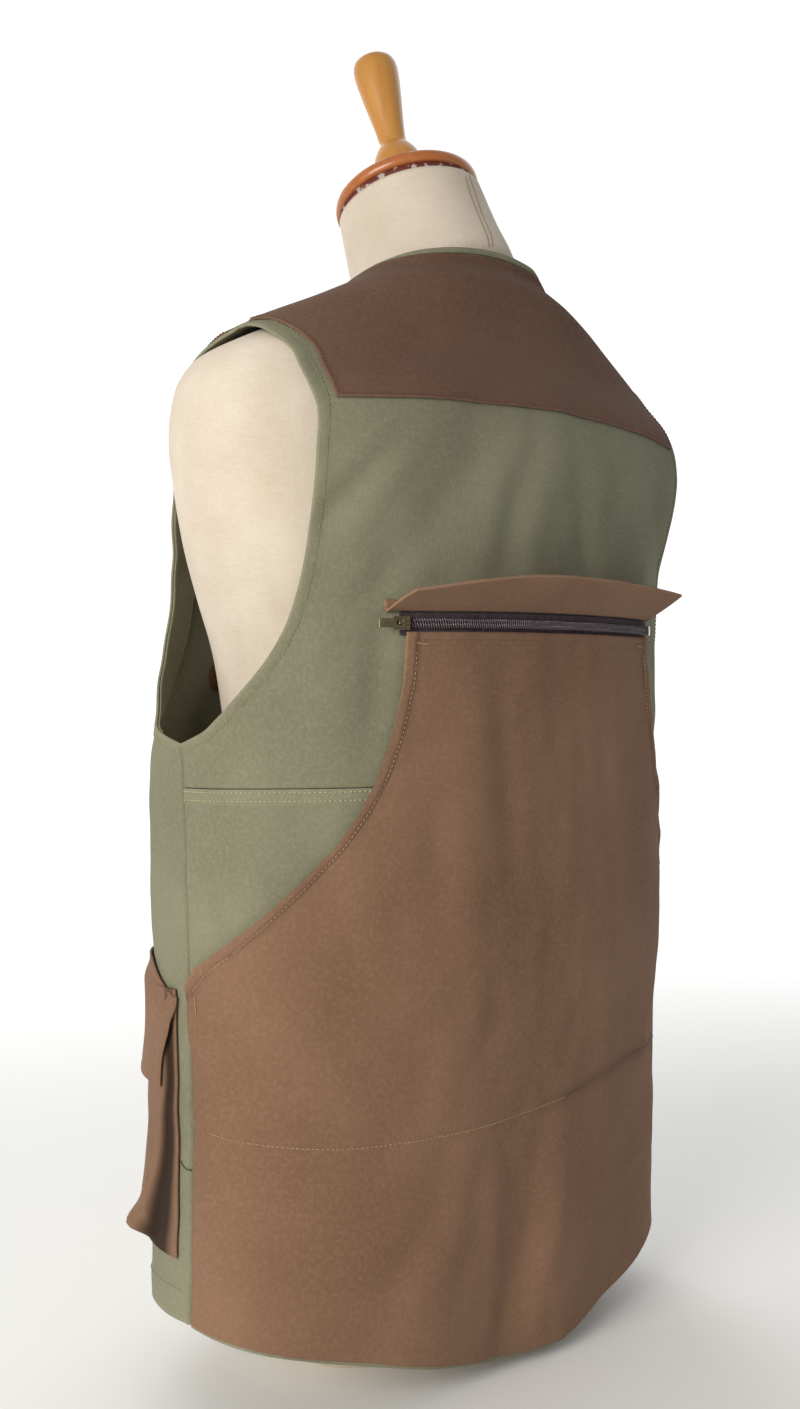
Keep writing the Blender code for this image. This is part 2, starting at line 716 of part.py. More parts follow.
def build_front_pockets():
    rows = np.array([0.086, 0.0885, 0.093, 0.104, 0.120, 0.140, 0.165, 0.195, 0.222, 0.246])
    columns, share = bag_columns()
    angles, levels = np.meshgrid(columns, rows)
    side = smoothstep(1.0, 0.88, np.abs(share))[None, :]
    bottom = smoothstep(BAG_LOW, BAG_LOW + 0.008, levels)
    sewn_lift = LAYER + 0.0005
    lift = sewn_lift + (linear(BAG_DEPTH, 1, levels) - sewn_lift) * side * bottom

    flap_rows = np.array([BAG_FLAP_LOW, 0.200, 0.216, 0.232, 0.246, 0.2535, BAG_FLAP_HIGH])
    flap_columns = columns + BAG_FLAP_OVER * share
    flap_angles, flap_levels = np.meshgrid(flap_columns, flap_rows)
    over = linear(BAG_DEPTH, 1, flap_levels) + CLOTH + 0.0010
    sewn = smoothstep(BAG_FLAP_HIGH - 0.003, BAG_HIGH, flap_levels)
    low = smoothstep(0.225, BAG_FLAP_LOW, flap_levels)
    flap_lift = sewn_lift + (over + 0.0012 * low - sewn_lift) * sewn
    bag = on_gilet(angles, levels, lift)
    flap = on_gilet(flap_angles, flap_levels, flap_lift)
    cloth("front_pocket_left", bag, BROWN)
    cloth("front_pocket_flap_left", flap, BROWN)
    bag = on_gilet(mirrored(angles), levels, lift)[:, ::-1]
    flap = on_gilet(mirrored(flap_angles), flap_levels, flap_lift)[:, ::-1]
    cloth("front_pocket_right", bag, BROWN)
    cloth("front_pocket_flap_right", flap, BROWN)


def build_armhole_facings():
    """The turned facing inside each front armhole, as wide as the strip seen through it."""
    rows = [level for level in UPPER_ROWS if UNDERARM < level < YOKE_FRONT]
    angles = np.array([front_columns(level)[-3:] for level in rows])
    levels = np.array(rows)[:, None] + 0 * angles
    inside = -(CLOTH + 0.0004)
    cloth("armhole_facing_left", on_gilet(angles, levels, inside), OLIVE)
    cloth(
        "armhole_facing_right",
        on_gilet(mirrored(angles)[:, ::-1], levels[:, ::-1], inside),
        OLIVE,
    )


def turned(name, profile, look, matrix, steps=24):
    """A turned solid from (height, radius) pairs listed from its top down."""
    mesh = bpy.data.meshes.new(name)
    verts = [(radius, 0, height) for height, radius in profile]
    mesh.from_pydata(verts, [(i, i + 1) for i in range(len(verts) - 1)], [])
    made = bpy.data.objects.new(name, mesh)
    made.data.materials.append(look)
    made.matrix_world = matrix
    PART.objects.link(made)
    screw = made.modifiers.new("Turn", "SCREW")
    screw.steps = steps
    screw.render_steps = steps
    screw.use_merge_vertices = True
    screw.merge_threshold = 0.00001
    screw.use_smooth_shade = True
    return made


def stud_profile(radius, thick):
    return (
        (thick, 0.0),
        (thick * 0.93, radius * 0.55),
        (thick * 0.62, radius * 0.90),
        (thick * 0.30, radius),
        (0.0, radius * 0.96),
        (0.0, 0.0),
    )


def build_studs():
    lift = CLOTH + FRONT_OVER + SEAM
    for index, level in enumerate(STUD_LEVELS):
        matrix = seat_matrix(-90.0, level, lift)
        turned(f"front_stud_{index + 1}", stud_profile(STUD_RADIUS, STUD_THICK), BRASS, matrix, 16)
    angle, level = CHEST_STUD
    outer = seat_matrix(angle, level, CLOTH + SEAM + 0.0004)
    turned("chest_stud_cap", stud_profile(CHEST_STUD_RADIUS, STUD_THICK), BRASS, outer, 16)
    inner = seat_matrix(angle, level, -SEAM - 0.0004) @ Matrix.Rotation(math.pi, 4, "X")
    turned("chest_stud_back", stud_profile(CHEST_STUD_RADIUS, STUD_THICK), BROWN, inner, 16)


def build_form():
    """The linen torso with its rounded shoulders and leaning neck, and its wooden top."""
    turn = np.linspace(0, 360, FORM_SIDES, endpoint=False)
    levels = [row[0] for row in FORM_SECTIONS]
    filled = []
    for low, high in zip(levels, levels[1:]):
        parts = max(1, round((high - low) / 0.035))
        filled += [low + (high - low) * i / parts for i in range(parts)]
    filled.append(levels[-1])
    bm = bmesh.new()
    rings = [
        [bm.verts.new(point) for point in ring_points(FORM_SECTIONS, turn, level)]
        for level in filled
    ]
    for low, high in zip(rings, rings[1:]):
        for i in range(FORM_SIDES):
            j = (i + 1) % FORM_SIDES
            bm.faces.new((low[i], low[j], high[j], high[i]))
    bm.faces.new(list(reversed(rings[0])))
    bm.faces.new(rings[-1])
    object_from(bm, "form_torso", LINEN)

    lean = Matrix.Translation(DISC_CENTRE) @ Matrix.Rotation(math.radians(NECK_LEAN), 4, "X")
    low = DISC_PROFILE[-1][0] - SEAM
    turned(
        "form_neck_band",
        ((low, 0), (low, BAND_RADIUS), (low - BAND_THICK, BAND_RADIUS), (low - BAND_THICK, 0)),
        BAND,
        lean,
    )
    turned("form_disc", DISC_PROFILE, WOOD_RED, lean)
    top = Matrix.Translation((0, 0, DISC_PROFILE[0][0]))
    turned("form_knob", KNOB_PROFILE, WOOD, lean @ top)


clear_scene()
PART = new_collection("canvas_gilet")
HELPERS = new_collection("canvas_gilet_helpers")
HELPERS.hide_render = True
OLIVE = material("olive_canvas", (0.137, 0.137, 0.085), 0.85)
BROWN = material("brown_canvas", (0.200, 0.120, 0.075), 0.85)
BROWN_DARK = material("dark_brown_canvas", (0.125, 0.068, 0.045), 0.85)
ZIP_CLOTH = material("zip_tape", (0.040, 0.025, 0.030), 0.5)
BRASS = material("antique_brass", (0.190, 0.170, 0.080), 0.4, 1.0)
STEEL = material("nickel", (0.700, 0.690, 0.660), 0.25, 1.0)
LINEN = material("linen", (0.760, 0.680, 0.580), 0.9)
WOOD = material("varnished_beech", (0.560, 0.260, 0.045), 0.3)
WOOD_RED = material("varnished_red_beech", (0.440, 0.130, 0.025), 0.3)
BAND = material("dark_red_band", (0.120, 0.030, 0.020), 0.7)

build_back()
build_fronts()
build_yoke()
build_neck_binding()
build_game_pocket()
ZIP_MIDDLE = build_zip()
build_slider(ZIP_MIDDLE)
build_storm_flap()
build_front_pockets()
build_armhole_facings()
build_studs()
build_form()
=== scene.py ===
"""Looks of an olive and brown canvas gilet on a limbless linen dress form.

The gilet's front faces -Y, its back +Y, and the wearer's left is +X; metres, Z up.
"""

import math

import bmesh
import bpy
import numpy as np
from mathutils import Matrix, Vector


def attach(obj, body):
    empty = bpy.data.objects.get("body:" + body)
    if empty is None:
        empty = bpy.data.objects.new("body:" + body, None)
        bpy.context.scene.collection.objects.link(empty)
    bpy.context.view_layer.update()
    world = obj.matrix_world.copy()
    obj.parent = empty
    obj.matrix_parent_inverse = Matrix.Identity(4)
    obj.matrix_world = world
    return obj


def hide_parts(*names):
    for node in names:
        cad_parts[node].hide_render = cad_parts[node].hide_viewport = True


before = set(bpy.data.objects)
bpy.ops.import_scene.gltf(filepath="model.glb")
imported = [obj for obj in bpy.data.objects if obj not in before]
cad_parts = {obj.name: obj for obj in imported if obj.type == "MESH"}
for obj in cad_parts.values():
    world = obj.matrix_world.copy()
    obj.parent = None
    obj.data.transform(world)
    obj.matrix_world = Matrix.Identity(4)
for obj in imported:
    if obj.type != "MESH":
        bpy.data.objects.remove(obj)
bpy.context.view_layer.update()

BODY = "gilet_on_form"

# The view: a wide lens held close, a little left of the centre back and level with the zip.
# The axes were fitted to the outlines in an 800 x 1409 frame.
CAMERA_PLACE = (0.6812, 0.7572, 0.4125)
CAMERA_FORWARD = Vector((-0.6620, -0.7495, 0.0015)).normalized()
CAMERA_UP = Vector((-0.0124, 0.0129, 0.9998))
FRAME_HEIGHT_PX = 1409
FOCAL_PX = 1505
SENSOR_MM = 24.0

lens = bpy.data.cameras.new("camera")
lens.sensor_fit = "VERTICAL"
lens.sensor_height = SENSOR_MM
lens.lens = FOCAL_PX * SENSOR_MM / FRAME_HEIGHT_PX
camera = bpy.data.objects.new("camera", lens)
camera_right = CAMERA_FORWARD.cross(CAMERA_UP).normalized()
camera_up = camera_right.cross(CAMERA_FORWARD)
axes = Matrix((camera_right, camera_up, -CAMERA_FORWARD)).transposed().to_4x4()
camera.matrix_world = Matrix.Translation(CAMERA_PLACE) @ axes
bpy.context.scene.collection.objects.link(camera)
bpy.context.scene.camera = camera
bpy.context.scene.view_settings.view_transform = "Standard"


def hex_colour(code):
    """An sRGB hex colour as linear RGBA."""
    parts = [int(code[i : i + 2], 16) / 255 for i in (1, 3, 5)]
    return (*[c / 12.92 if c < 0.04045 else ((c + 0.055) / 1.055) ** 2.4 for c in parts], 1.0)


def node(tree, kind, inputs, **settings):
    """One shader node with its settings; an input that is a socket is linked, others are set."""
    made = tree.nodes.new(kind)
    for name, value in settings.items():
        setattr(made, name, value)
    for name, value in inputs.items():
        if isinstance(value, bpy.types.NodeSocket):
            tree.links.new(value, made.inputs[name])
        else:
            made.inputs[name].default_value = value
    return made


def new_finish(name):
    """A material with only a Principled shader, and its node tree."""
    made = bpy.data.materials.new(name)
    made.use_nodes = True
    return made, made.node_tree, made.node_tree.nodes["Principled BSDF"]


def set_shader(shader, **inputs):
    """Set a shader's plain inputs, named in lower case with _ for each space."""
    for name, value in inputs.items():
        socket = next(s for s in shader.inputs if s.name.lower().replace(" ", "_") == name)
        socket.default_value = hex_colour(value) if isinstance(value, str) else value


def noise(tree, vector, scale, detail):
    inputs = {"Vector": vector, "Scale": scale, "Detail": detail}
    return node(tree, "ShaderNodeTexNoise", inputs).outputs["Fac"]


def spread(tree, value, low, high):
    """A value rescaled so that low is 0 and high is 1."""
    return node(tree, "ShaderNodeMapRange", {"Value": value, 1: low, 2: high}).outputs["Result"]


def mix_colour(tree, factor, low, high):
    """A colour between two, each of them an sRGB code or a socket."""
    ends = [hex_colour(end) if isinstance(end, str) else end for end in (low, high)]
    inputs = {"Factor": factor, 6: ends[0], 7: ends[1]}
    return node(tree, "ShaderNodeMix", inputs, data_type="RGBA").outputs[2]


def unit(vectors):
    """Vectors scaled to a length of one."""
    return vectors / np.linalg.norm(vectors, axis=-1, keepdims=True)


# The studio: a wide pale floor, even light from all round, and soft lamps. The walls behind
# the gilet are white and the side behind the camera is dim. A broad window lamp lights the
# wearer's left side, so the cloth darkens round to the far side.
FLOOR_COLOUR = "#fdfdfb"
FLOOR_EDGE = (0.45, 1.9)
WHITE_WALL = Vector((-0.662, -0.750, 0.0))
WALL_LIGHT = 1.12
ROOM_LIGHT = 0.30
LAMPS = (
    # name, place, size, power, colour
    ("window", (1.87, 0.58, 0.74), 1.3, 32.0, "#fffbf4"),
    ("front_fill", (-0.9, -1.9, 1.2), 1.4, 14.0, "#ffffff"),
)

floor_mesh = bpy.data.meshes.new("floor")
floor_build = bmesh.new()
bmesh.ops.create_circle(floor_build, cap_ends=True, radius=FLOOR_EDGE[1], segments=64)
floor_build.to_mesh(floor_mesh)
floor_build.free()
floor = bpy.data.objects.new("floor", floor_mesh)
floor.location = (0, 0, -0.0006)
bpy.context.scene.collection.objects.link(floor)
floor_paint, tree, shader = new_finish("matt_floor_paint")
place = node(tree, "ShaderNodeTexCoord", {}).outputs["Object"]
away = node(tree, "ShaderNodeVectorMath", {0: place}, operation="LENGTH").outputs["Value"]
fade = node(
    tree,
    "ShaderNodeMapRange",
    {"Value": away, 1: FLOOR_EDGE[0], 2: FLOOR_EDGE[1], 3: 1.0, 4: 0.0},
    interpolation_type="SMOOTHSTEP",
)
tree.links.new(fade.outputs["Result"], shader.inputs["Alpha"])
set_shader(shader, base_color=FLOOR_COLOUR, roughness=0.9)
floor_mesh.materials.append(floor_paint)

world = bpy.data.worlds.new("studio")
world.use_nodes = True
around = node(world.node_tree, "ShaderNodeTexCoord", {}).outputs["Generated"]
towards = node(
    world.node_tree, "ShaderNodeVectorMath", {0: around, 1: WHITE_WALL}, operation="DOT_PRODUCT"
)
wall = node(
    world.node_tree,
    "ShaderNodeMapRange",
    {"Value": towards.outputs["Value"], 1: 0.0, 2: 0.70, 3: ROOM_LIGHT, 4: WALL_LIGHT},
    interpolation_type="SMOOTHSTEP",
)
backdrop = world.node_tree.nodes["Background"]
backdrop.inputs["Color"].default_value = hex_colour("#ffffff")
world.node_tree.links.new(wall.outputs["Result"], backdrop.inputs["Strength"])
bpy.context.scene.world = world
for name, place, size, power, colour in LAMPS:
    lamp = bpy.data.lights.new(name, "AREA")
    lamp.shape = "DISK"
    lamp.size = size
    lamp.energy = power
    lamp.color = hex_colour(colour)[:3]
    stand = bpy.data.objects.new(name, lamp)
    aim = Vector((0, 0, 0.4)) - Vector(place)
    stand.matrix_world = Matrix.Translation(place) @ aim.to_track_quat("-Z", "Y").to_matrix().to_4x4()
    bpy.context.scene.collection.objects.link(stand)


# The form's torso: a padded shell covered in natural linen, stretched smooth over rounded
# shoulders and a neck that leans forward. Its underside is flat.
FORM_SECTIONS = (
    # level, half width, ridge, back, front, squareness, rise
    (0.000, 0.100, 0.000, 0.050, 0.066, 2.2, 0.000),
    (0.020, 0.118, 0.000, 0.064, 0.080, 2.2, 0.000),
    (0.050, 0.134, 0.000, 0.077, 0.094, 2.2, 0.000),
    (0.100, 0.150, 0.000, 0.090, 0.106, 2.2, 0.000),
    (0.200, 0.145, 0.000, 0.094, 0.100, 2.2, 0.000),
    (0.300, 0.134, 0.000, 0.094, 0.096, 2.2, 0.000),
    (0.410, 0.137, 0.000, 0.098, 0.099, 2.2, 0.000),
    (0.453, 0.145, 0.000, 0.103, 0.101, 2.2, 0.000),
    (0.485, 0.156, 0.000, 0.107, 0.102, 2.2, 0.003),
    (0.520, 0.1685, 0.003, 0.107, 0.103, 2.2, 0.008),
    (0.552, 0.1765, 0.006, 0.100, 0.104, 2.2, 0.012),
    (0.585, 0.1830, 0.010, 0.100, 0.103, 2.2, 0.010),
    (0.602, 0.1830, 0.0125, 0.092, 0.099, 2.2, 0.0105),
    (0.615, 0.1795, 0.0140, 0.0865, 0.096, 2.2, 0.011),
    (0.626, 0.1710, 0.0165, 0.081, 0.091, 2.2, 0.012),
    (0.635, 0.1540, 0.0190, 0.0745, 0.085, 2.2, 0.0135),
    (0.647, 0.127, 0.0230, 0.068, 0.077, 2.3, 0.015),
    (0.657, 0.103, 0.0270, 0.061, 0.069, 2.3, 0.017),
    (0.668, 0.079, 0.0290, 0.052, 0.060, 2.3, 0.0185),
    (0.679, 0.061, 0.0290, 0.0500, 0.054, 2.1, 0.0185),
    (0.692, 0.0555, 0.0280, 0.0515, 0.051, 2.0, 0.0170),
    (0.715, 0.0510, 0.0180, 0.0505, 0.050, 2.0, 0.0158),
    (0.7475, 0.0478, 0.0055, 0.0478, 0.0478, 2.0, 0.0143),
)
FORM_COLUMNS = 144
LINEN_LIGHT = "#dfd3c3"
LINEN_DARK = "#cebfab"
# Painted shade: a darker copy of the linen, used on the folds of the neck seams.
SHADED_SEAM_LIGHT = "#a8957f"
SHADED_SEAM_DARK = "#94816c"
NECK_SEAMS = (
    # level, angle along each of the seam's two rows at the back of the neck
    ((0.686, 90.0), (0.697, 88.5), (0.712, 90.0), (0.728, 91.0), (0.743, 94.5)),
    ((0.687, 93.0), (0.704, 94.0), (0.724, 97.0), (0.742, 100.0), (0.746, 101.0)),
)


def smooth_column(table, column, at):
    """A column of a table as a smooth curve of its first column."""
    keys = np.array([row[0] for row in table])
    values = np.array([row[column] for row in table])
    slopes = np.gradient(values, keys)
    at = np.clip(np.asarray(at, float), keys[0], keys[-1])
    i = np.clip(np.searchsorted(keys, at, side="right") - 1, 0, len(keys) - 2)
    step = keys[i + 1] - keys[i]
    u = (at - keys[i]) / step
    return (
        (1 + 2 * u) * (1 - u) ** 2 * values[i]
        + u * (1 - u) ** 2 * step * slopes[i]
        + u * u * (3 - 2 * u) * values[i + 1]
        + u * u * (u - 1) * step * slopes[i + 1]
    )


def soft_step(low, high, at):
    u = np.clip((np.asarray(at, float) - low) / (high - low), 0, 1)
    return u * u * (3 - 2 * u)


def near(distance, width):
    """1 at an edge, falling softly to 0 at a width from it."""
    return 1 - soft_step(0, width, distance)


def bell(offset, width):
    """A soft ridge along a line, 1 on the line."""
    return np.exp(-((offset / width) ** 2))


def ring_points(table, angle, level):
    """Points on the body's rings at these angles (0 wearer's left, 90 centre back) and levels."""
    angle, level = np.broadcast_arrays(np.asarray(angle, float), np.asarray(level, float))
    turn = np.radians(angle)
    depth = np.where(
        np.sin(turn) >= 0, smooth_column(table, 3, level), smooth_column(table, 4, level)
    )
    square = smooth_column(table, 5, level)
    wide = np.abs(np.cos(turn)) / smooth_column(table, 1, level)
    deep = np.abs(np.sin(turn)) / depth
    radius = (wide**square + deep**square) ** (-1 / square)
    x = radius * np.cos(turn)
    y = smooth_column(table, 2, level) + radius * np.sin(turn)
    z = level + smooth_column(table, 6, level) * np.sin(turn)
    return np.stack([x, y, z], axis=-1)


def grid_normals(points):
    """Unit normals of a grid whose columns run left to right and rows upwards from outside."""
    normal = np.cross(np.gradient(points, axis=1), np.gradient(points, axis=0))
    return normal / np.maximum(np.linalg.norm(normal, axis=-1, keepdims=True), 1e-12)


def grid_mesh(name, grids, finish, closed=False, wall=0.0):
    """One welded mesh from grids of (points, uv in metres, a per-vertex value that is edge wear where
    positive and painted shade where negative); a wall is its cloth's thickness.
    """
    points, uvs, wear_and_shade_values, faces = [], [], [], []
    count = 0
    for place, uv, wear_and_shade in grids:
        rows, columns = place.shape[:2]
        index = count + np.arange(rows * columns).reshape(rows, columns)
        right = np.roll(index, -1, axis=1) if closed else index[:, 1:]
        left = index if closed else index[:, :-1]
        faces.append(
            np.stack([left[:-1], right[:-1], right[1:], left[1:]], axis=-1).reshape(-1, 4)
        )
        points.append(place.reshape(-1, 3))
        uvs.append(uv.reshape(-1, 2))
        wear_and_shade_values.append(np.broadcast_to(wear_and_shade, place.shape[:2]).reshape(-1))
        count += rows * columns
    points, uvs, wear_and_shade_values = np.concatenate(points), np.concatenate(uvs), np.concatenate(wear_and_shade_values)
    faces = np.concatenate(faces)
    mesh = bpy.data.meshes.new(name)
    mesh.from_pydata(points.tolist(), [], faces.tolist())
    mesh.uv_layers.new(name="cloth").data.foreach_set("uv", uvs[faces].ravel())
    mesh.attributes.new("wear_and_shade", "FLOAT", "POINT").data.foreach_set("value", wear_and_shade_values)
    if len(grids) > 1:
        build = bmesh.new()
        build.from_mesh(mesh)
        bmesh.ops.remove_doubles(build, verts=build.verts[:], dist=2e-5)
        build.to_mesh(mesh)
        build.free()
    mesh.shade_smooth()
    mesh.materials.append(finish)
    made = bpy.data.objects.new(name, mesh)
    bpy.context.scene.collection.objects.link(made)
    if wall:
        thick = made.modifiers.new("Wall", "SOLIDIFY")
        thick.thickness = wall
        thick.offset = -1.0
    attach(made, BODY)
    return made


def band_along(name, path, normals, half_width, half_height, finish, sides=8, wear_and_shade=0.0):
    """A flattened round band along a path, lying flat to the normals, with closed ends."""
    path, normals = np.asarray(path), np.asarray(normals)
    aside = unit(np.cross(normals, unit(np.gradient(path, axis=0))))
    turn = np.radians(np.linspace(0, 360, sides, endpoint=False))
    shrink = np.ones(len(path))
    shrink[[0, -1]] = 0.05
    rows = [
        path
        + aside * (half_width * math.cos(t) * shrink)[:, None]
        + normals * (half_height * math.sin(t) * shrink)[:, None]
        for t in turn
    ]
    rows.append(rows[0])
    grid = np.array(rows)[::-1]
    run = np.concatenate([[0], np.cumsum(np.linalg.norm(np.diff(path, axis=0), axis=1))])
    uv = np.stack(np.meshgrid(run, np.linspace(0, 4 * half_width, sides + 1)), axis=-1)
    return grid_mesh(name, [(grid, uv, wear_and_shade), (grid[:1], uv[:1], wear_and_shade)], finish)


def linen(name, light, dark):
    """Natural linen, plain woven and unbleached: uneven 0.5 mm threads with slubs, quite matt."""
    made, tree, shader = new_finish(name)
    place = node(tree, "ShaderNodeTexCoord", {}).outputs["Object"]
    threads = []
    for stretch in ((140.0, 140.0, 1500.0), (1500.0, 1500.0, 110.0)):
        mapped = node(tree, "ShaderNodeMapping", {"Vector": place, "Scale": stretch})
        threads.append(noise(tree, mapped.outputs["Vector"], 1.0, 2.0))
    weave = node(tree, "ShaderNodeMath", {0: threads[0], 1: threads[1]}, operation="ADD")
    patch = noise(tree, place, 22.0, 3.0)
    tone = node(
        tree,
        "ShaderNodeMath",
        {0: weave.outputs[0], 1: 0.55, 2: patch},
        operation="MULTIPLY_ADD",
    )
    colour = mix_colour(tree, spread(tree, tone.outputs[0], 0.75, 1.35), dark, light)
    tree.links.new(colour, shader.inputs["Base Color"])
    bump = node(
        tree, "ShaderNodeBump", {"Height": weave.outputs[0], "Strength": 0.35, "Distance": 0.0003}
    )
    tree.links.new(bump.outputs["Normal"], shader.inputs["Normal"])
    set_shader(shader, roughness=0.92, specular_ior_level=0.2, sheen_weight=0.15)
    return made


linen_cover = linen("natural_linen", LINEN_LIGHT, LINEN_DARK)
seam_linen = linen("shaded_seam_linen", SHADED_SEAM_LIGHT, SHADED_SEAM_DARK)
levels = np.concatenate([np.linspace(0, 0.60, 100), np.linspace(0.603, 0.7475, 70)])[:, None]
angles = np.linspace(0, 360, FORM_COLUMNS, endpoint=False)[None, :]
shell = ring_points(FORM_SECTIONS, angles, levels)
uv = np.stack(np.broadcast_arrays(np.radians(angles) * 0.15, levels), axis=-1)
middle_low = np.broadcast_to(shell[0].mean(axis=0), shell[:1].shape)
middle_high = np.broadcast_to(shell[-1].mean(axis=0), shell[:1].shape)
inset_low = shell[:1] * 0.992 + middle_low * 0.008
shell[:1, :, 2] += 0.003
shell = np.vstack([middle_low, inset_low, shell, middle_high])
uv = np.vstack([uv[:1], uv[:1], uv, uv[-1:]])
torso = grid_mesh("linen_torso", [(shell, uv, 0.0)], linen_cover, closed=True)
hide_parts("form_torso")

for index, row in enumerate(NECK_SEAMS):
    seam_levels = np.linspace(row[0][0], row[-1][0], 40)
    path = ring_points(FORM_SECTIONS, smooth_column(row, 1, seam_levels), seam_levels)
    out = path - np.array([0, 0.014, 0])
    out[:, 2] = 0.0
    fold = band_along(f"neck_seam_fold_{index + 1}", path, unit(out), 0.0006, 0.0003, seam_linen)


# The form's top: a ragged painted band, a turned disc with a rolled rim, and a turned knob.
# Both are varnished beech; the disc is stained redder.
NECK_LEAN = 19.5
KNOB_LEAN = 16.5
KNOB_TIP = 1.0
DISC_CENTRE = (0.0, 0.0019, 0.7549)
BAND_RADIUS = 0.0472
BAND_LOW = -0.0105
DISC_PROFILE = (
    (0.0045, 0.0000), (0.0045, 0.0440), (0.0043, 0.0462), (0.0036, 0.0480), (0.0022, 0.0491),
    (0.0004, 0.0495), (-0.0016, 0.0494), (-0.0030, 0.0489), (-0.0039, 0.0478), (-0.0042, 0.0462),
    (-0.0042, 0.0000),
)
KNOB_PROFILE = (
    (0.1040, 0.0000), (0.1039, 0.0050), (0.1036, 0.0088), (0.1027, 0.0118), (0.1008, 0.0140),
    (0.0980, 0.0152), (0.0945, 0.0157), (0.0900, 0.0156), (0.0840, 0.0151), (0.0760, 0.0141),
    (0.0680, 0.0130), (0.0600, 0.0118), (0.0520, 0.0107), (0.0450, 0.0099), (0.0400, 0.0095),
    (0.0372, 0.0094), (0.0366, 0.0097), (0.0360, 0.0103), (0.0345, 0.0117), (0.0310, 0.0141),
    (0.0275, 0.0158), (0.0240, 0.0172), (0.0210, 0.0180), (0.0180, 0.0184), (0.0050, 0.0184),
    (0.0047, 0.0184), (0.0047, 0.0000),
)
DISC_LIGHT = "#c8793a"
DISC_DARK = "#9c5522"
KNOB_LIGHT = "#d89a48"
KNOB_DARK = "#b57a30"
BAND_RED = "#6a2c24"
BAND_CHIP = "#b9aba2"


def varnished_beech(name, light, dark, grain):
    """Turned beech under gloss varnish: long fine grain with darker flecks, a clear coat over it."""
    made, tree, shader = new_finish(name)
    place = node(tree, "ShaderNodeTexCoord", {}).outputs["Object"]
    mapped = node(tree, "ShaderNodeMapping", {"Vector": place, "Scale": grain}).outputs["Vector"]
    colour = mix_colour(tree, noise(tree, mapped, 1.0, 5.0), dark, light)
    tree.links.new(colour, shader.inputs["Base Color"])
    set_shader(shader, roughness=0.38, coat_weight=0.7, coat_roughness=0.16)
    return made


def turned_piece(name, profile, finish, steps=72, lean=NECK_LEAN, tip=0.0):
    """A lathe-turned piece on the form's leaning axis, from (height, radius) from its top down."""
    heights = np.array([row[0] for row in profile])[::-1, None]
    radii = np.array([row[1] for row in profile])[::-1, None]
    turn = np.radians(np.linspace(0, 360, steps, endpoint=False))[None, :]
    x, y, z = np.broadcast_arrays(radii * np.cos(turn), radii * np.sin(turn), heights)
    place = np.stack([x, y, z], axis=-1)
    uv = np.stack(np.broadcast_arrays(turn * 0.02, heights), axis=-1)
    made = grid_mesh(name, [(place, uv, 0.0)], finish, closed=True)
    turned = Matrix.Rotation(math.radians(tip), 4, "Y") @ Matrix.Rotation(math.radians(lean), 4, "X")
    made.matrix_world = Matrix.Translation(DISC_CENTRE) @ turned
    return made


knob_wood = varnished_beech("varnished_beech", KNOB_LIGHT, KNOB_DARK, (160.0, 160.0, 14.0))
disc_wood = varnished_beech("stained_beech", DISC_LIGHT, DISC_DARK, (30.0, 260.0, 260.0))
raised = tuple((height + 0.0045, radius) for height, radius in KNOB_PROFILE[:-2])
foot = ((0.0048, 0.0184), (0.0030, 0.0176), (0.0030, 0.0))
knob = turned_piece("turned_knob", raised + foot, knob_wood, lean=KNOB_LEAN, tip=KNOB_TIP)
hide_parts("form_knob")
disc = turned_piece("turned_disc", DISC_PROFILE, disc_wood, steps=120)
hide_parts("form_disc")

band_paint, tree, shader = new_finish("chipped_red_paint")
place = node(tree, "ShaderNodeTexCoord", {}).outputs["Object"]
chipped = spread(tree, noise(tree, place, 160.0, 4.0), 0.56, 0.60)
colour = mix_colour(tree, chipped, BAND_RED, BAND_CHIP)
tree.links.new(colour, shader.inputs["Base Color"])
set_shader(shader, roughness=0.7)
band_profile = (
    (-0.0046, 0.0), (-0.0046, BAND_RADIUS), (-0.0075, BAND_RADIUS), (BAND_LOW, BAND_RADIUS),
    (BAND_LOW, 0.0),
)
neck_band = turned_piece("painted_neck_band", band_profile, band_paint, steps=120)
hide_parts("form_neck_band")


# The back of the gilet: an upper and a lower panel of olive cotton canvas, joined by a waist
# seam whose allowance is pressed down and topstitched twice. The armholes have turned edges.
CLOTH = 0.0014
SEAM = 0.0003
LAYER = CLOTH + 0.0004
HEM_BACK = 0.006
HEM_SIDE = 0.050
WAIST_SEAM = 0.367
UNDERARM = 0.393
SHOULDER_TIP = 0.640
NECK_SIDE = 0.680
SIDE_SEAM = 1.5
GILET_SECTIONS = (
    # level, half width, ridge, back, front, squareness, rise
    (0.000, 0.1935, 0.000, 0.097, 0.121, 2.3, 0.000),
    (0.080, 0.1890, 0.000, 0.101, 0.123, 2.3, 0.000),
    (0.150, 0.1860, 0.000, 0.106, 0.124, 2.3, 0.000),
    (0.300, 0.1870, 0.000, 0.120, 0.117, 2.3, 0.000),
    (0.420, 0.1900, 0.000, 0.122, 0.119, 2.3, 0.000),
    (0.500, 0.1955, 0.000, 0.126, 0.119, 2.3, 0.006),
    (0.560, 0.2154, 0.009, 0.1218, 0.124, 2.3, 0.0179),
    (0.590, 0.2123, 0.0128, 0.110, 0.121, 2.3, 0.0103),
    (0.615, 0.1914, 0.0143, 0.0913, 0.111, 2.3, 0.0113),
    (0.640, 0.1545, 0.0202, 0.0765, 0.096, 2.3, 0.0141),
    (0.660, 0.1074, 0.0279, 0.0645, 0.078, 2.4, 0.0173),
    (0.672, 0.0821, 0.030, 0.0528, 0.066, 2.5, 0.0176),
    (0.680, 0.0710, 0.030, 0.053, 0.060, 2.6, 0.0155),
)
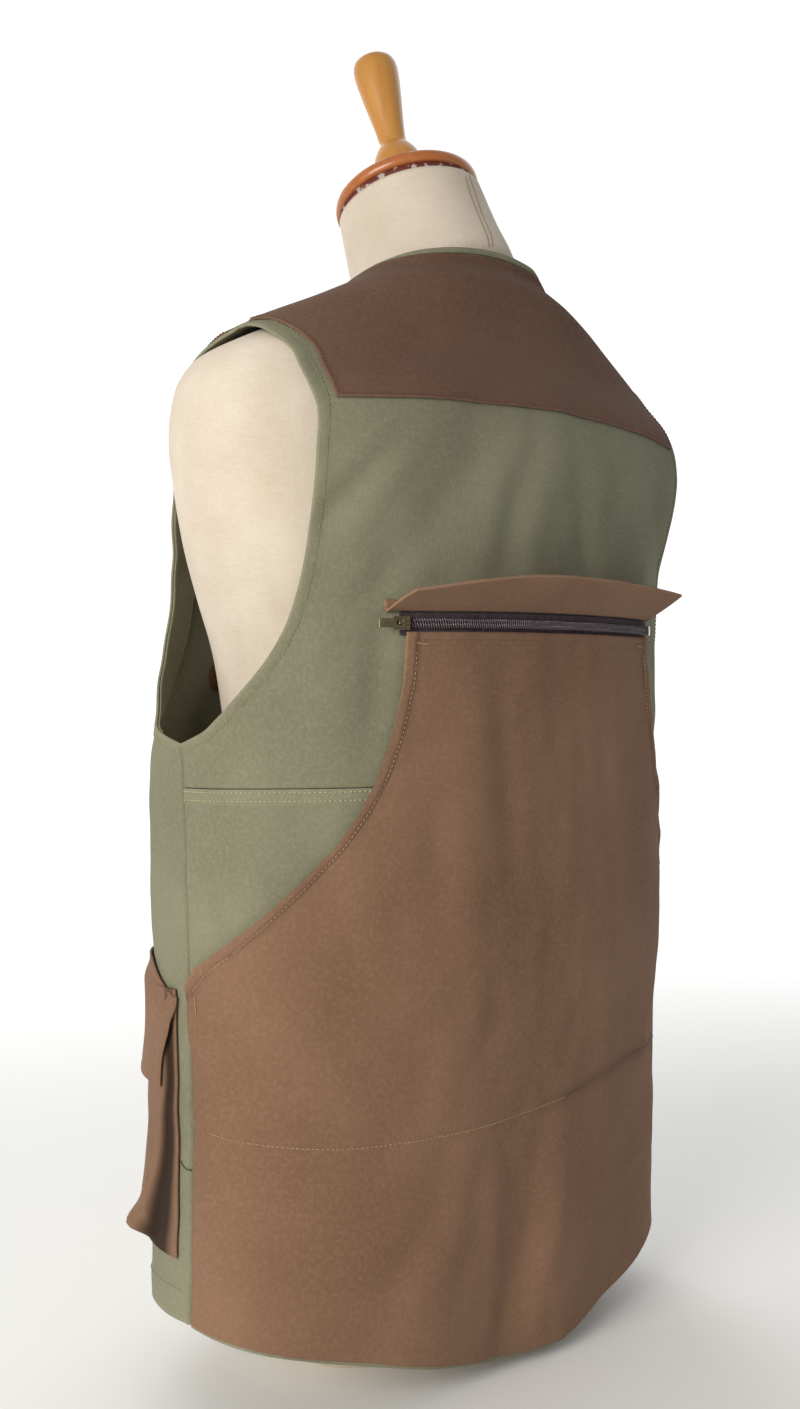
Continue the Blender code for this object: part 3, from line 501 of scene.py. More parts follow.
ARMHOLE = (
    # level, angle of the back edge, angle of the front edge
    (0.3930, 1.5, 1.5),
    (0.3990, 7.0, -6.0),
    (0.4080, 11.0, -16.0),
    (0.4200, 15.0, -23.0),
    (0.4370, 20.0, -28.5),
    (0.4560, 24.0, -32.0),
    (0.4800, 27.0, -34.5),
    (0.5100, 29.0, -36.0),
    (0.5450, 30.0, -37.0),
    (0.5790, 28.5, -35.5),
    (0.6000, 24.5, -31.0),
    (0.6150, 20.5, -25.5),
    (0.6260, 15.0, -19.0),
    (0.6340, 9.0, -11.5),
    (0.6385, 3.4, -5.0),
    (0.6400, 0.0, 0.0),
)
FOLDS = (
    # angle, level, half length, half width, height outwards, lean from upright
    (60.0, 0.540, 0.070, 0.026, -0.0030, -42.0),
    (124.0, 0.535, 0.065, 0.028, -0.0026, 40.0),
    (24.0, 0.330, 0.060, 0.030, -0.0026, 8.0),
    (156.0, 0.330, 0.060, 0.030, -0.0024, -8.0),
    (78.0, 0.040, 0.090, 0.032, -0.0046, -6.0),
    (104.0, 0.060, 0.100, 0.034, 0.0036, 8.0),
    (130.0, 0.040, 0.090, 0.030, -0.0032, -4.0),
    (48.0, 0.040, 0.080, 0.030, 0.0028, 4.0),
    (-50.0, 0.340, 0.080, 0.030, 0.0026, 14.0),
    (-134.0, 0.330, 0.080, 0.032, 0.0024, -12.0),
    (-66.0, 0.040, 0.060, 0.030, 0.0028, 6.0),
    (-118.0, 0.040, 0.060, 0.030, -0.0026, -6.0),
    (-36.0, 0.575, 0.085, 0.050, -0.0100, 0.0),
    (-144.0, 0.575, 0.085, 0.050, -0.0095, 0.0),
    (-20.0, 0.414, 0.026, 0.032, -0.0062, 0.0),
    (-160.0, 0.414, 0.026, 0.032, -0.0058, 0.0),
    (-28.0, 0.612, 0.030, 0.034, -0.0075, 0.0),
    (-152.0, 0.612, 0.030, 0.034, -0.0070, 0.0),
)
CREASES = (
    # smaller ones, as seen on the back and the wearer's left, and like ones elsewhere
    (36.5, 0.530, 0.032, 0.0065, -0.0022, -38.0),
    (41.5, 0.524, 0.030, 0.007, 0.0010, -38.0),
    (75.0, 0.516, 0.045, 0.012, -0.0010, -20.0),
    (39.5, 0.476, 0.018, 0.009, -0.0013, -60.0),
    (40.5, 0.425, 0.050, 0.008, -0.0016, -6.0),
    (10.8, 0.298, 0.032, 0.0055, -0.0028, 13.0),
    (18.0, 0.310, 0.035, 0.007, 0.0016, 13.0),
    (17.0, 0.287, 0.022, 0.006, -0.0016, -30.0),
    (13.0, 0.392, 0.018, 0.005, 0.0010, -65.0),
    (141.0, 0.528, 0.034, 0.0075, -0.0019, 36.0),
    (104.0, 0.505, 0.040, 0.011, -0.0010, 18.0),
    (139.0, 0.470, 0.020, 0.009, -0.0012, 55.0),
    (168.0, 0.300, 0.033, 0.006, -0.0024, -12.0),
    (161.0, 0.312, 0.034, 0.007, 0.0014, -14.0),
    (42.0, 0.552, 0.035, 0.010, 0.0009, -38.0),
    (50.0, 0.505, 0.055, 0.011, -0.0011, -48.0),
    (31.0, 0.455, 0.035, 0.009, 0.0010, -24.0),
    (40.0, 0.430, 0.045, 0.013, -0.0012, -18.0),
    (22.0, 0.405, 0.030, 0.009, -0.0010, -50.0),
    (12.0, 0.385, 0.022, 0.007, -0.0009, -40.0),
    (8.0, 0.352, 0.030, 0.008, 0.0009, -12.0),
    (29.0, 0.325, 0.035, 0.010, -0.0014, 12.0),
    (20.0, 0.345, 0.030, 0.009, 0.0011, 10.0),
    (84.0, 0.500, 0.045, 0.014, 0.0009, -8.0),
    (104.0, 0.520, 0.045, 0.012, -0.0010, 14.0),
    (133.0, 0.500, 0.050, 0.010, 0.0012, 32.0),
    (140.0, 0.455, 0.050, 0.010, -0.0011, 26.0),
    (151.0, 0.410, 0.040, 0.010, 0.0010, 30.0),
    (163.0, 0.385, 0.030, 0.008, -0.0009, 36.0),
    (148.0, 0.330, 0.035, 0.010, -0.0012, -14.0),
    (-12.0, 0.360, 0.050, 0.010, -0.0012, 16.0),
    (-24.0, 0.330, 0.060, 0.011, 0.0012, 20.0),
    (-38.0, 0.400, 0.050, 0.012, -0.0013, 34.0),
    (-44.0, 0.520, 0.050, 0.010, 0.0011, 44.0),
    (-60.0, 0.470, 0.060, 0.013, -0.0012, 38.0),
    (-80.0, 0.300, 0.070, 0.012, 0.0010, -6.0),
    (-100.0, 0.250, 0.080, 0.013, -0.0011, 5.0),
    (-122.0, 0.460, 0.060, 0.012, -0.0012, -36.0),
    (-138.0, 0.520, 0.050, 0.010, 0.0012, -42.0),
    (-146.0, 0.400, 0.050, 0.011, -0.0012, -30.0),
    (-158.0, 0.335, 0.055, 0.010, 0.0012, -18.0),
    (-170.0, 0.365, 0.045, 0.009, -0.0010, -14.0),
    (-14.0, 0.110, 0.050, 0.010, 0.0010, -8.0),
    (-168.0, 0.110, 0.050, 0.010, -0.0011, 7.0),
    (-90.0, 0.120, 0.080, 0.014, 0.0012, 3.0),
)
FOLD_RADIUS = 0.15
EDGE_STEPS = np.array([0.0, 0.0003, 0.0008, 0.0015, 0.0026, 0.0042, 0.0056, 0.0064, 0.0072, 0.0084])
OLIVE_LIGHT = "#9c9a82"
OLIVE_MID = "#8a8871"
OLIVE_DARK = "#7a7862"
# Painted shade: the dark olive that the canvas is darkened to in grooves and folds, where shade falls.
OLIVE_PAINTED_SHADE = "#45432f"
OLIVE_THREAD = "#8d8b6b"
WAIST_THREAD = "#b3ae86"
SIDE_GROOVE = 0.0020
GROOVE_WIDTH = 0.0022
CLOTH_RIPPLE = 0.00028
PUCKER = 0.00012
UV_RADIUS = 0.155
HEM_FRONT_DIP = 0.012
HEM_CURVE = 1.3
STITCH_PITCH = 0.0029
STITCH_SHAPE = (
    # share of the stitch's length from its middle, height there
    (-0.5, -0.0003),
    (-0.28, 0.00016),
    (0.28, 0.00016),
    (0.5, -0.0003),
)
ARMHOLE_STITCH = 0.0062


def fold_height(table, angle, level):
    """How far soft ridges and troughs move the cloth outwards."""
    total = np.zeros(np.broadcast(angle, level).shape)
    for centre, height, half_length, half_width, out, lean in table:
        aside = np.radians((np.asarray(angle) - centre + 180) % 360 - 180) * FOLD_RADIUS
        above = np.asarray(level) - height
        turn = math.radians(lean)
        along = above * math.cos(turn) - aside * math.sin(turn)
        across = aside * math.cos(turn) + above * math.sin(turn)
        total += out * np.exp(-((along / half_length) ** 2) - (across / half_width) ** 2)
    return total


def ripple(angle, level, seed=3, waves=22):
    """Shallow unevenness of hanging canvas, from a fixed set of slow waves, about -1 to 1."""
    chance = np.random.default_rng(seed)
    run = np.radians(angle) * FOLD_RADIUS
    total = np.zeros(np.broadcast(angle, level).shape)
    for _ in range(waves):
        length = chance.uniform(0.022, 0.075)
        lean = chance.normal(0.0, 0.55)
        phase = chance.uniform(0, 2 * math.pi)
        wave = run * math.cos(lean) + level * math.sin(lean)
        total += np.sin(2 * math.pi * wave / length + phase)
    return total / math.sqrt(waves)


def gilet_place(angle, level, lift=0.0, fine=1.4):
    """Points of the gilet's cloth, moved out by lift, with its folds and creases."""
    angle, level = np.broadcast_arrays(np.asarray(angle, float), np.asarray(level, float))
    calm = 1 - 0.75 * soft_step(0.56, 0.61, level)
    small = fold_height(CREASES, angle, level) + CLOTH_RIPPLE * ripple(angle, level)
    out = fold_height(FOLDS, angle, level) + fine * calm * small + lift
    points = ring_points(GILET_SECTIONS, angle, level)
    across = ring_points(GILET_SECTIONS, angle + 0.2, level) - ring_points(
        GILET_SECTIONS, angle - 0.2, level
    )
    above = np.minimum(level + 0.0005, NECK_SIDE)
    below = np.maximum(level - 0.0005, 0.0)
    up = ring_points(GILET_SECTIONS, angle, above) - ring_points(GILET_SECTIONS, angle, below)
    return points + unit(np.cross(across, up)) * np.broadcast_to(out, angle.shape)[..., None]


def gilet_out(angle, level):
    """Unit normals of the gilet's cloth."""
    step = gilet_place(angle + 0.3, level) - gilet_place(angle - 0.3, level)
    above = np.minimum(np.asarray(level, float) + 0.001, NECK_SIDE)
    below = np.maximum(np.asarray(level, float) - 0.001, 0.0)
    return unit(np.cross(step, gilet_place(angle, above) - gilet_place(angle, below)))


def degrees_for(distance, angle, level):
    """How many degrees along a ring a distance in metres is."""
    step = ring_points(GILET_SECTIONS, angle + 0.5, level) - ring_points(
        GILET_SECTIONS, angle - 0.5, level
    )
    return distance / np.linalg.norm(step, axis=-1)


def from_sides(angle, edge, level):
    """Distance to the nearer of two mirrored side edges, measured along the ring at a level."""
    return np.minimum(angle - edge, 180 - edge - angle) / degrees_for(1.0, edge, level)


def columns_between(left, right, level, count):
    """Angles of a row from its left to its right edge, closer together near both edges."""
    start = left + degrees_for(EDGE_STEPS, left, level)
    end = right - degrees_for(EDGE_STEPS, right, level)
    if start[-1] >= end[-1]:
        return np.linspace(left, right, 2 * len(EDGE_STEPS) + count - 2)
    return np.concatenate([start, np.linspace(start[-1], end[-1], count)[1:-1], end[::-1]])


def distance_to(points, line):
    """Distance of each point to a line of points in space."""
    flat = points.reshape(-1, 3)
    best = np.full(len(flat), 1e9)
    for a, b in zip(line[:-1], line[1:]):
        run = b - a
        share = np.clip((flat - a) @ run / max(run @ run, 1e-15), 0, 1)
        best = np.minimum(best, np.linalg.norm(flat - a - share[:, None] * run, axis=1))
    return best.reshape(points.shape[:2])


def turned_edge(distance, width, rise=0.0006, groove=0.0003):
    """Height of a turned and topstitched edge at a distance from its rounded rim."""
    rounded = -0.0008 * near(distance, 0.0012) ** 2
    double = rise * (1 - soft_step(width, width + 0.0016, distance))
    stitched = -groove * bell(distance - width, 0.0009)
    puckers = 1.0 - soft_step(width * 1.2, width * 2.6, distance)
    return rounded + double + stitched, puckers


def canvas(name, light, mid, dark, shade_colour, thread_mm=0.9):
    """Cotton canvas, piece dyed and a little faded: matt, with a plain weave of 0.9 mm pairs of
    threads, drawn coarser than life so it shows; rubbed pale along turned edges where the per-vertex
    value is positive, and darkened with painted shade in grooves and folds where it is negative."""
    made, tree, shader = new_finish(name)
    place = node(tree, "ShaderNodeTexCoord", {}).outputs["Object"]
    cloth = node(tree, "ShaderNodeUVMap", {}, uv_map="cloth").outputs["UV"]
    waves = [
        node(
            tree,
            "ShaderNodeTexWave",
            {"Vector": cloth, "Scale": 314.16 / thread_mm, "Distortion": 0.6, "Detail": 1.0},
            bands_direction=direction,
        ).outputs["Fac"]
        for direction in ("X", "Y")
    ]
    weave = node(tree, "ShaderNodeMath", {0: waves[0], 1: waves[1]}, operation="ADD").outputs[0]
    faded = spread(tree, noise(tree, place, 9.0, 4.0), 0.35, 0.70)
    fleck = noise(tree, place, 420.0, 3.0)
    wear_and_shade = node(tree, "ShaderNodeAttribute", {}, attribute_name="wear_and_shade").outputs["Fac"]
    specks = {0: spread(tree, fleck, 0.42, 0.72), 1: 0.30, 2: wear_and_shade}
    pale = node(tree, "ShaderNodeMath", specks, operation="MULTIPLY_ADD").outputs[0]
    colour = mix_colour(tree, pale, mix_colour(tree, faded, dark, mid), light)
    # Painted shade: a negative per-vertex value darkens the colour towards the shade colour.
    colour = mix_colour(tree, spread(tree, wear_and_shade, 0.0, -1.0), colour, shade_colour)
    tree.links.new(colour, shader.inputs["Base Color"])
    rough = node(tree, "ShaderNodeMath", {0: fleck, 1: weave}, operation="ADD")
    bump = node(
        tree, "ShaderNodeBump", {"Height": rough.outputs[0], "Strength": 0.32, "Distance": 0.00025}
    )
    tree.links.new(bump.outputs["Normal"], shader.inputs["Normal"])
    set_shader(
        shader, roughness=0.95, specular_ior_level=0.08, sheen_weight=0.06, sheen_roughness=0.5
    )
    return made


def thread(name, code):
    """Polyester sewing thread: tight twist, slightly shiny."""
    made, _, shader = new_finish(name)
    set_shader(shader, base_color=code, roughness=0.55, sheen_weight=0.1)
    return made


def read_along(at, run, values):
    """Rows of values read at these distances along a run."""
    return np.stack([np.interp(at, run, values[:, k]) for k in range(3)], axis=1)


def sew(name, runs, finish, pitch=STITCH_PITCH, width=0.00026, part_sewn=0.68):
    """Lockstitches along runs of (points, normals): each a short rounded bar, its ends sunk in."""
    points, faces = [], []
    ring = np.array([(1, 0), (0, 1), (-1, 0), (0, -1)]) * width
    for path, normals in runs:
        steps = np.linalg.norm(np.diff(path, axis=0), axis=1)
        run = np.concatenate([[0], np.cumsum(steps)])
        places = np.arange(pitch / 2, run[-1], pitch)
        out = unit(read_along(places, run, normals))
        ahead = read_along(places + pitch / 2, run, path)
        aside = unit(np.cross(out, ahead - read_along(places - pitch / 2, run, path)))
        for offset_share, sink in STITCH_SHAPE:
            at = np.clip(places + offset_share * part_sewn * pitch, 0, run[-1])
            centre = read_along(at, run, path)
            for x, y in ring:
                points.append(centre + aside * x + out * (y + sink))
    # points holds, per run, 16 arrays of one point a stitch
    stacked, start = [], 0
    for index in range(0, len(points), 16):
        block = np.stack(points[index : index + 16], axis=1)
        for bar in range(len(block)):
            first = start + bar * 16
            for k in range(3):
                for s in range(4):
                    a, b = first + 4 * k + s, first + 4 * k + (s + 1) % 4
                    faces.append((a, b, b + 4, a + 4))
            faces.append((first + 3, first + 2, first + 1, first))
            faces.append((first + 12, first + 13, first + 14, first + 15))
        stacked.append(block.reshape(-1, 3))
        start += block.shape[0] * 16
    mesh = bpy.data.meshes.new(name)
    mesh.from_pydata(np.concatenate(stacked).tolist(), [], faces)
    mesh.shade_smooth()
    mesh.materials.append(finish)
    made = bpy.data.objects.new(name, mesh)
    bpy.context.scene.collection.objects.link(made)
    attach(made, BODY)
    return made


def surface_run(angles, levels, lift):
    """A line on the cloth for sewing: its points, and the normals there."""
    return gilet_place(angles, levels, lift), gilet_out(angles, levels)


def both_sides(angles, levels, lift):
    """The same line on the wearer's left and mirrored on the right, for sewing."""
    return [surface_run(angles, levels, lift), surface_run(180 - angles, levels, lift)]


def armhole_line(side, inset=0.0, count=160):
    """Angles and levels along the wearer's left armhole: side 1 is its back edge, 2 its front."""
    levels = UNDERARM + (SHOULDER_TIP - UNDERARM) * (1 - np.cos(np.linspace(0, math.pi, count))) / 2
    angles = smooth_column(ARMHOLE, side, levels)
    if inset:
        place = gilet_place(angles, levels)
        along = unit(np.gradient(place, axis=0))
        inward = np.cross(along, gilet_out(angles, levels)) * (1 if side == 1 else -1)
        up = gilet_place(angles, np.minimum(levels + 0.0005, NECK_SIDE)) - gilet_place(
            angles, levels - 0.0005
        )
        round_ = gilet_place(angles + 0.1, levels) - gilet_place(angles - 0.1, levels)
        rise = np.einsum("ij,ij->i", inward, up) / np.einsum("ij,ij->i", up, up)
        turn = np.einsum("ij,ij->i", inward, round_) / np.einsum("ij,ij->i", round_, round_)
        angles, levels = angles + inset * turn * 0.2, levels + inset * rise * 0.001
    return angles, levels


def hem_level(angle):
    """The hem dips from the side seams to the centre back, and less to the front."""
    turn = np.radians(np.asarray(angle, float))
    back = HEM_SIDE + (HEM_BACK - HEM_SIDE) * np.abs(np.sin(turn)) ** HEM_CURVE
    front = HEM_SIDE - HEM_FRONT_DIP * np.abs(np.sin(turn)) ** HEM_CURVE
    return np.where(np.sin(turn) >= 0, back, front)


def flat_map(angles, levels):
    """The cloth's flat coordinates in metres, for its weave."""
    return np.stack([np.radians(angles) * UV_RADIUS, levels], axis=-1)


olive_canvas = canvas("olive_canvas", OLIVE_LIGHT, OLIVE_MID, OLIVE_DARK, OLIVE_PAINTED_SHADE)
olive_thread = thread("olive_thread", OLIVE_THREAD)

UPPER_LEVELS = np.concatenate(
    [
        WAIST_SEAM + SEAM / 2 + EDGE_STEPS[:7],
        np.arange(0.3755, 0.3925, 0.003),
        [0.3930, 0.3933, 0.3938, 0.3945, 0.3955, 0.3967, 0.3980, 0.3995],
        np.arange(0.4015, 0.600, 0.0031),
        np.arange(0.600, 0.6375, 0.0021),
        [0.6380, 0.6390, 0.6396, 0.6400, 0.6404],
        np.arange(0.6415, 0.6795, 0.0013),
        [NECK_SIDE],
    ]
)


def back_edge(level):
    if level <= UNDERARM:
        return SIDE_SEAM + float(degrees_for(SEAM / 2, SIDE_SEAM, level))
    if level < SHOULDER_TIP:
        return float(smooth_column(ARMHOLE, 1, level))
    return float(degrees_for(SEAM / 2, 0.0, level))


angles = np.array([columns_between(back_edge(z), 180 - back_edge(z), z, 96) for z in UPPER_LEVELS])
levels = UPPER_LEVELS[:, None] + 0 * angles
back_arm_line = gilet_place(*armhole_line(1))
right_arm_angles, right_arm_levels = armhole_line(1)
right_arm_line = gilet_place(180 - right_arm_angles, right_arm_levels)
place = gilet_place(angles, levels)
from_arm = np.minimum(distance_to(place, back_arm_line), distance_to(place, right_arm_line))
profile, pucker = turned_edge(from_arm, ARMHOLE_STITCH)
at_seam = -0.0006 * near(levels - WAIST_SEAM, 0.0014)
side_d = from_sides(angles, SIDE_SEAM, 0.38)
at_side = -SIDE_GROOVE * near(side_d, GROOVE_WIDTH) * (levels < UNDERARM)
lift = CLOTH + profile + at_seam + at_side + PUCKER * pucker * ripple(angles * 3, levels * 3, 5)
wear_and_shade = 0.32 * near(from_arm, 0.0035)
# Painted shade: darker in the groove of the side seam below the armhole.
wear_and_shade = wear_and_shade - 0.9 * near(side_d, 0.0016) * (levels < UNDERARM)
upper_back = grid_mesh(
    "upper_back",
    [(gilet_place(angles, levels, lift), flat_map(angles, levels), wear_and_shade)],
    olive_canvas,
    wall=CLOTH,
)
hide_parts("back_upper")

near_waist = [0.962, 0.968, 0.974, 0.980, 0.985, 0.990, 0.994, 0.9972, 0.9988, 1.0]
share = np.concatenate([[0, 0.001, 0.003, 0.006], np.linspace(0.012, 0.955, 92), near_waist])[:, None]
columns = columns_between(SIDE_SEAM + 0.04, 180 - SIDE_SEAM - 0.04, WAIST_SEAM, 96)
levels = hem_level(columns)[None, :] * (1 - share) + (WAIST_SEAM - SEAM / 2) * share
angles = columns[None, :] + 0 * levels
below_seam = WAIST_SEAM - levels
side_d = from_sides(angles, SIDE_SEAM, 0.3)
profile = (
    -0.0008 * near(below_seam, 0.0010)
    + 0.0005 * (1 - soft_step(0.0080, 0.0100, below_seam))
    - 0.00022 * bell(below_seam - 0.0021, 0.0008)
    - 0.00022 * bell(below_seam - 0.0070, 0.0008)
    - SIDE_GROOVE * near(side_d, GROOVE_WIDTH)
)
wear_and_shade = 0.35 * near(below_seam, 0.0022) + 0.2 * (1 - soft_step(0.0075, 0.0100, below_seam))
# Painted shade: darker in the groove of the side seam.
wear_and_shade -= 0.9 * near(side_d, 0.0016)
lower_back = grid_mesh(
    "lower_back",
    [(gilet_place(angles, levels, CLOTH + profile), flat_map(angles, levels), wear_and_shade)],
    olive_canvas,
    wall=CLOTH,
)
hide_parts("back_lower")

runs = []
for below in (0.0021, 0.0070):
    for low, high in ((2.0, 40.0), (140.0, 178.0)):
        line = np.linspace(low, high, 160)
        runs.append(surface_run(line, WAIST_SEAM - below + 0 * line, CLOTH + 0.0005))
pale_thread = thread("pale_olive_thread", WAIST_THREAD)
waist_rows = sew("waist_stitching", runs, pale_thread, width=0.00034)
line, heights = armhole_line(1, ARMHOLE_STITCH)
runs = both_sides(line[6:], heights[6:], CLOTH + 0.0004)
back_rows = sew("back_stitching", runs, olive_thread)


# The fronts: two olive panels, the wearer's left lapping over the right, with press studs down
# the middle. Each front armhole is faced inside with a strip that shows from behind.
FRONT_OVER = LAYER + 0.0010
FRONT_EDGE = (
    # level, angle of the left front's free edge
    (0.4400, -98.6),
    (0.4700, -96.0),
    (0.5100, -87.5),
    (0.5500, -78.5),
    (0.5850, -70.0),
    (0.6100, -62.0),
    (0.6300, -53.0),
    (0.6480, -42.0),
    (0.6620, -30.0),
    (0.6720, -19.0),
    (0.6800, -7.0),
)
FRONT_BAND = 0.030
HEM_TURN = 0.018
LAP_FROM = -66.0
LAP_TO = -77.0
# A short seam between the side seam and the front pocket: angles and levels of its two ends
STRIP_SEAM = ((1.3, -2.0), (0.1405, 0.1465))


def front_free(level):
    return float(np.interp(level, [r[0] for r in FRONT_EDGE], [r[1] for r in FRONT_EDGE]))


def front_outer(level):
    if level <= UNDERARM:
        return SIDE_SEAM - float(degrees_for(SEAM / 2, SIDE_SEAM, level))
    if level < SHOULDER_TIP:
        return float(smooth_column(ARMHOLE, 2, level))
    return -float(degrees_for(SEAM / 2, 0.0, level))


front_low = np.concatenate([[0, 0.002, 0.005, 0.010, 0.018, 0.028], np.linspace(0.04, 0.985, 88)])
front_upper = UPPER_LEVELS[UPPER_LEVELS > WAIST_SEAM + 0.004]
columns = columns_between(front_free(WAIST_SEAM), front_outer(WAIST_SEAM), WAIST_SEAM, 62)
low_share = front_low[:, None]
hem_rows = hem_level(columns)[None, :] * (1 - low_share) + (WAIST_SEAM + 0.002) * low_share
upper = np.array([columns_between(front_free(z), front_outer(z), z, 62) for z in front_upper])
angles = np.vstack([columns[None, :] + 0 * hem_rows, upper])
levels = np.vstack([hem_rows, front_upper[:, None] + 0 * upper])
arm_line = gilet_place(*armhole_line(2))
from_arm = distance_to(gilet_place(angles, levels), arm_line)
free_heights = np.linspace(hem_level(-98.6), NECK_SIDE, 120)
free_line = gilet_place(np.array([front_free(z) for z in free_heights]), free_heights)
from_free = distance_to(gilet_place(angles, levels), free_line)
from_hem = levels - hem_level(angles)
arm_profile, _ = turned_edge(from_arm, ARMHOLE_STITCH)
free_profile, _ = turned_edge(from_free, FRONT_BAND, rise=0.0004, groove=0.0003)
hem_profile, _ = turned_edge(from_hem, HEM_TURN, rise=0.0004, groove=0.0003)
side_d = (SIDE_SEAM - angles) / degrees_for(1.0, SIDE_SEAM, 0.3)
at_side = -SIDE_GROOVE * near(side_d, GROOVE_WIDTH) * (levels < UNDERARM)
detail = CLOTH + arm_profile + free_profile + hem_profile + at_side
wear_and_shade = 0.32 * (1 - soft_step(0.0, 0.0035, np.minimum(from_arm, np.minimum(from_free, from_hem))))
over = FRONT_OVER * soft_step(LAP_FROM, LAP_TO, angles)
left_front = grid_mesh(
    "left_front",
    [(gilet_place(angles, levels, detail + over), flat_map(angles, levels), wear_and_shade)],
    olive_canvas,
    wall=CLOTH,
)
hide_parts("front_left")
other, other_levels = 180 - angles[:, ::-1], levels[:, ::-1]
right_front = grid_mesh(
    "right_front",
    [(gilet_place(other, other_levels, detail[:, ::-1]), flat_map(other, other_levels), wear_and_shade[:, ::-1])],
    olive_canvas,
    wall=CLOTH,
)
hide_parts("front_right")

FACING_WIDTH = 0.026
FACING_LOW = 0.3985
FACING_HIGH = 0.569
facing_levels = UPPER_LEVELS[(UPPER_LEVELS > FACING_LOW) & (UPPER_LEVELS < FACING_HIGH)]
outer = np.array([front_outer(z) for z in facing_levels])
facing_turn = [float(degrees_for(FACING_WIDTH, a, z)) for a, z in zip(outer, facing_levels)]
inner = outer - np.array(facing_turn)
share = np.linspace(0, 1, 14)[None, :]
angles = inner[:, None] * (1 - share) + (outer[:, None] - 0.15) * share
levels = facing_levels[:, None] + 0 * angles
inside = -0.0004 + 0 * angles
wear_and_shade = 0.25 * (share < 0.12) + 0 * angles
for side, strip, heights in (
    ("left", angles, levels),
    ("right", 180 - angles[:, ::-1], levels[:, ::-1]),
):
    facing = grid_mesh(
        f"armhole_strip_{side}",
        [(gilet_place(strip, heights, inside), flat_map(strip, heights), wear_and_shade)],
        olive_canvas,
        wall=0.0010,
    )
    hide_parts(f"armhole_facing_{side}")

runs = []
for flip in (False, True):
    raise_by = CLOTH + 0.0004
    line, heights = armhole_line(2, ARMHOLE_STITCH)
    line = 180 - line if flip else line
    runs.append(surface_run(line[4:], heights[4:], raise_by))
    line = np.linspace(-1.0, -96.0, 260)
    line = 180 - line if flip else line
    over_line = 0 if flip else FRONT_OVER * soft_step(LAP_FROM, LAP_TO, line)
    runs.append(surface_run(line, hem_level(line) + HEM_TURN, raise_by + over_line))
    heights = np.linspace(0.040, 0.655, 420)
    line = np.array([front_free(z) for z in heights])
    line = line + degrees_for(FRONT_BAND, line, heights)
    over_line = 0 if flip else FRONT_OVER * soft_step(LAP_FROM, LAP_TO, line)
    line = 180 - line if flip else line
    runs.append(surface_run(line, heights, raise_by + over_line))
front_rows = sew("front_stitching", runs, olive_thread)
seam = [np.linspace(a, b, 9) for a, b in STRIP_SEAM]
strip_run = surface_run(seam[0], seam[1] - 0.0035 * np.sin(np.linspace(0, 2.2, 9)), CLOTH + 0.0001)
# Painted shade: the short seam is drawn as an unbroken dark line in the olive shade colour.
seam_shade_thread = thread("dark_olive_thread", OLIVE_PAINTED_SHADE)
strip_seam_shade = sew(
    "side_strip_seam", [strip_run], seam_shade_thread, 0.0010, 0.00045, part_sewn=1.0
)

BRASS_LIGHT = "#b0a27e"
BRASS_DARK = "#5f563e"
ENAMEL_BROWN = "#8a6248"
old_brass, tree, shader = new_finish("antique_brass_plate")
place = node(tree, "ShaderNodeTexCoord", {}).outputs["Object"]
colour = mix_colour(tree, noise(tree, place, 420.0, 3.0), BRASS_DARK, BRASS_LIGHT)
tree.links.new(colour, shader.inputs["Base Color"])
set_shader(shader, metallic=1.0, roughness=0.30)
front_studs = [f"front_stud_{n}" for n in range(1, 6)]
for name in front_studs + ["chest_stud_cap", "zip_slider", "zip_pull_tab"]:
    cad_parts[name].data.materials[0] = old_brass
brown_enamel, _, shader = new_finish("brown_enamelled_steel")
set_shader(shader, base_color=ENAMEL_BROWN, roughness=0.35, metallic=0.6)
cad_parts["chest_stud_back"].data.materials[0] = brown_enamel


# The yoke: one piece of darker brown canvas over back and shoulders, its edges turned under and
# topstitched close. Above it the neckline is bound with a narrow olive strip.
YOKE_BACK = 0.579
YOKE_FRONT = 0.600
YOKE_INSET = 0.012
YOKE_TOP_CORNER = 0.6452
YOKE_LIGHT = "#866a57"
YOKE_MID = "#745847"
YOKE_DARK = "#664c3d"
YOKE_THREAD = "#5c2f25"
# Painted shade: the dark brown that brown canvas is darkened to in grooves, valleys and folds.
BROWN_PAINTED_SHADE = "#33261e"
YOKE_STITCH = 0.0022
BINDING_WIDTH = 0.0046
BINDING_OVERLAP = 0.0005
BINDING_HALF_THICK = 0.0013
BINDING_LOW = 0.503


def yoke_side(level, side):
    """Angle of the yoke's edge beside the armhole; it closes over the shoulder tip."""
    if level >= YOKE_TOP_CORNER:
        return 0.0
    edge = float(smooth_column(ARMHOLE, side, min(level, SHOULDER_TIP)))
    sign = 1 if side == 1 else -1
    inset = math.degrees(YOKE_INSET / float(smooth_column(GILET_SECTIONS, 1, level)))
    near_tip = 1.0
    if level > SHOULDER_TIP:
        above = (level - SHOULDER_TIP) / (YOKE_TOP_CORNER - SHOULDER_TIP)
        near_tip = math.sqrt(max(0.0, 1 - above**2))
    return edge + sign * inset * near_tip


def yoke_line(side, low):
    heights = np.concatenate([np.linspace(low, 0.634, 90), np.linspace(0.6345, YOKE_TOP_CORNER, 50)])
    return np.array([yoke_side(z, side) for z in heights]), heights


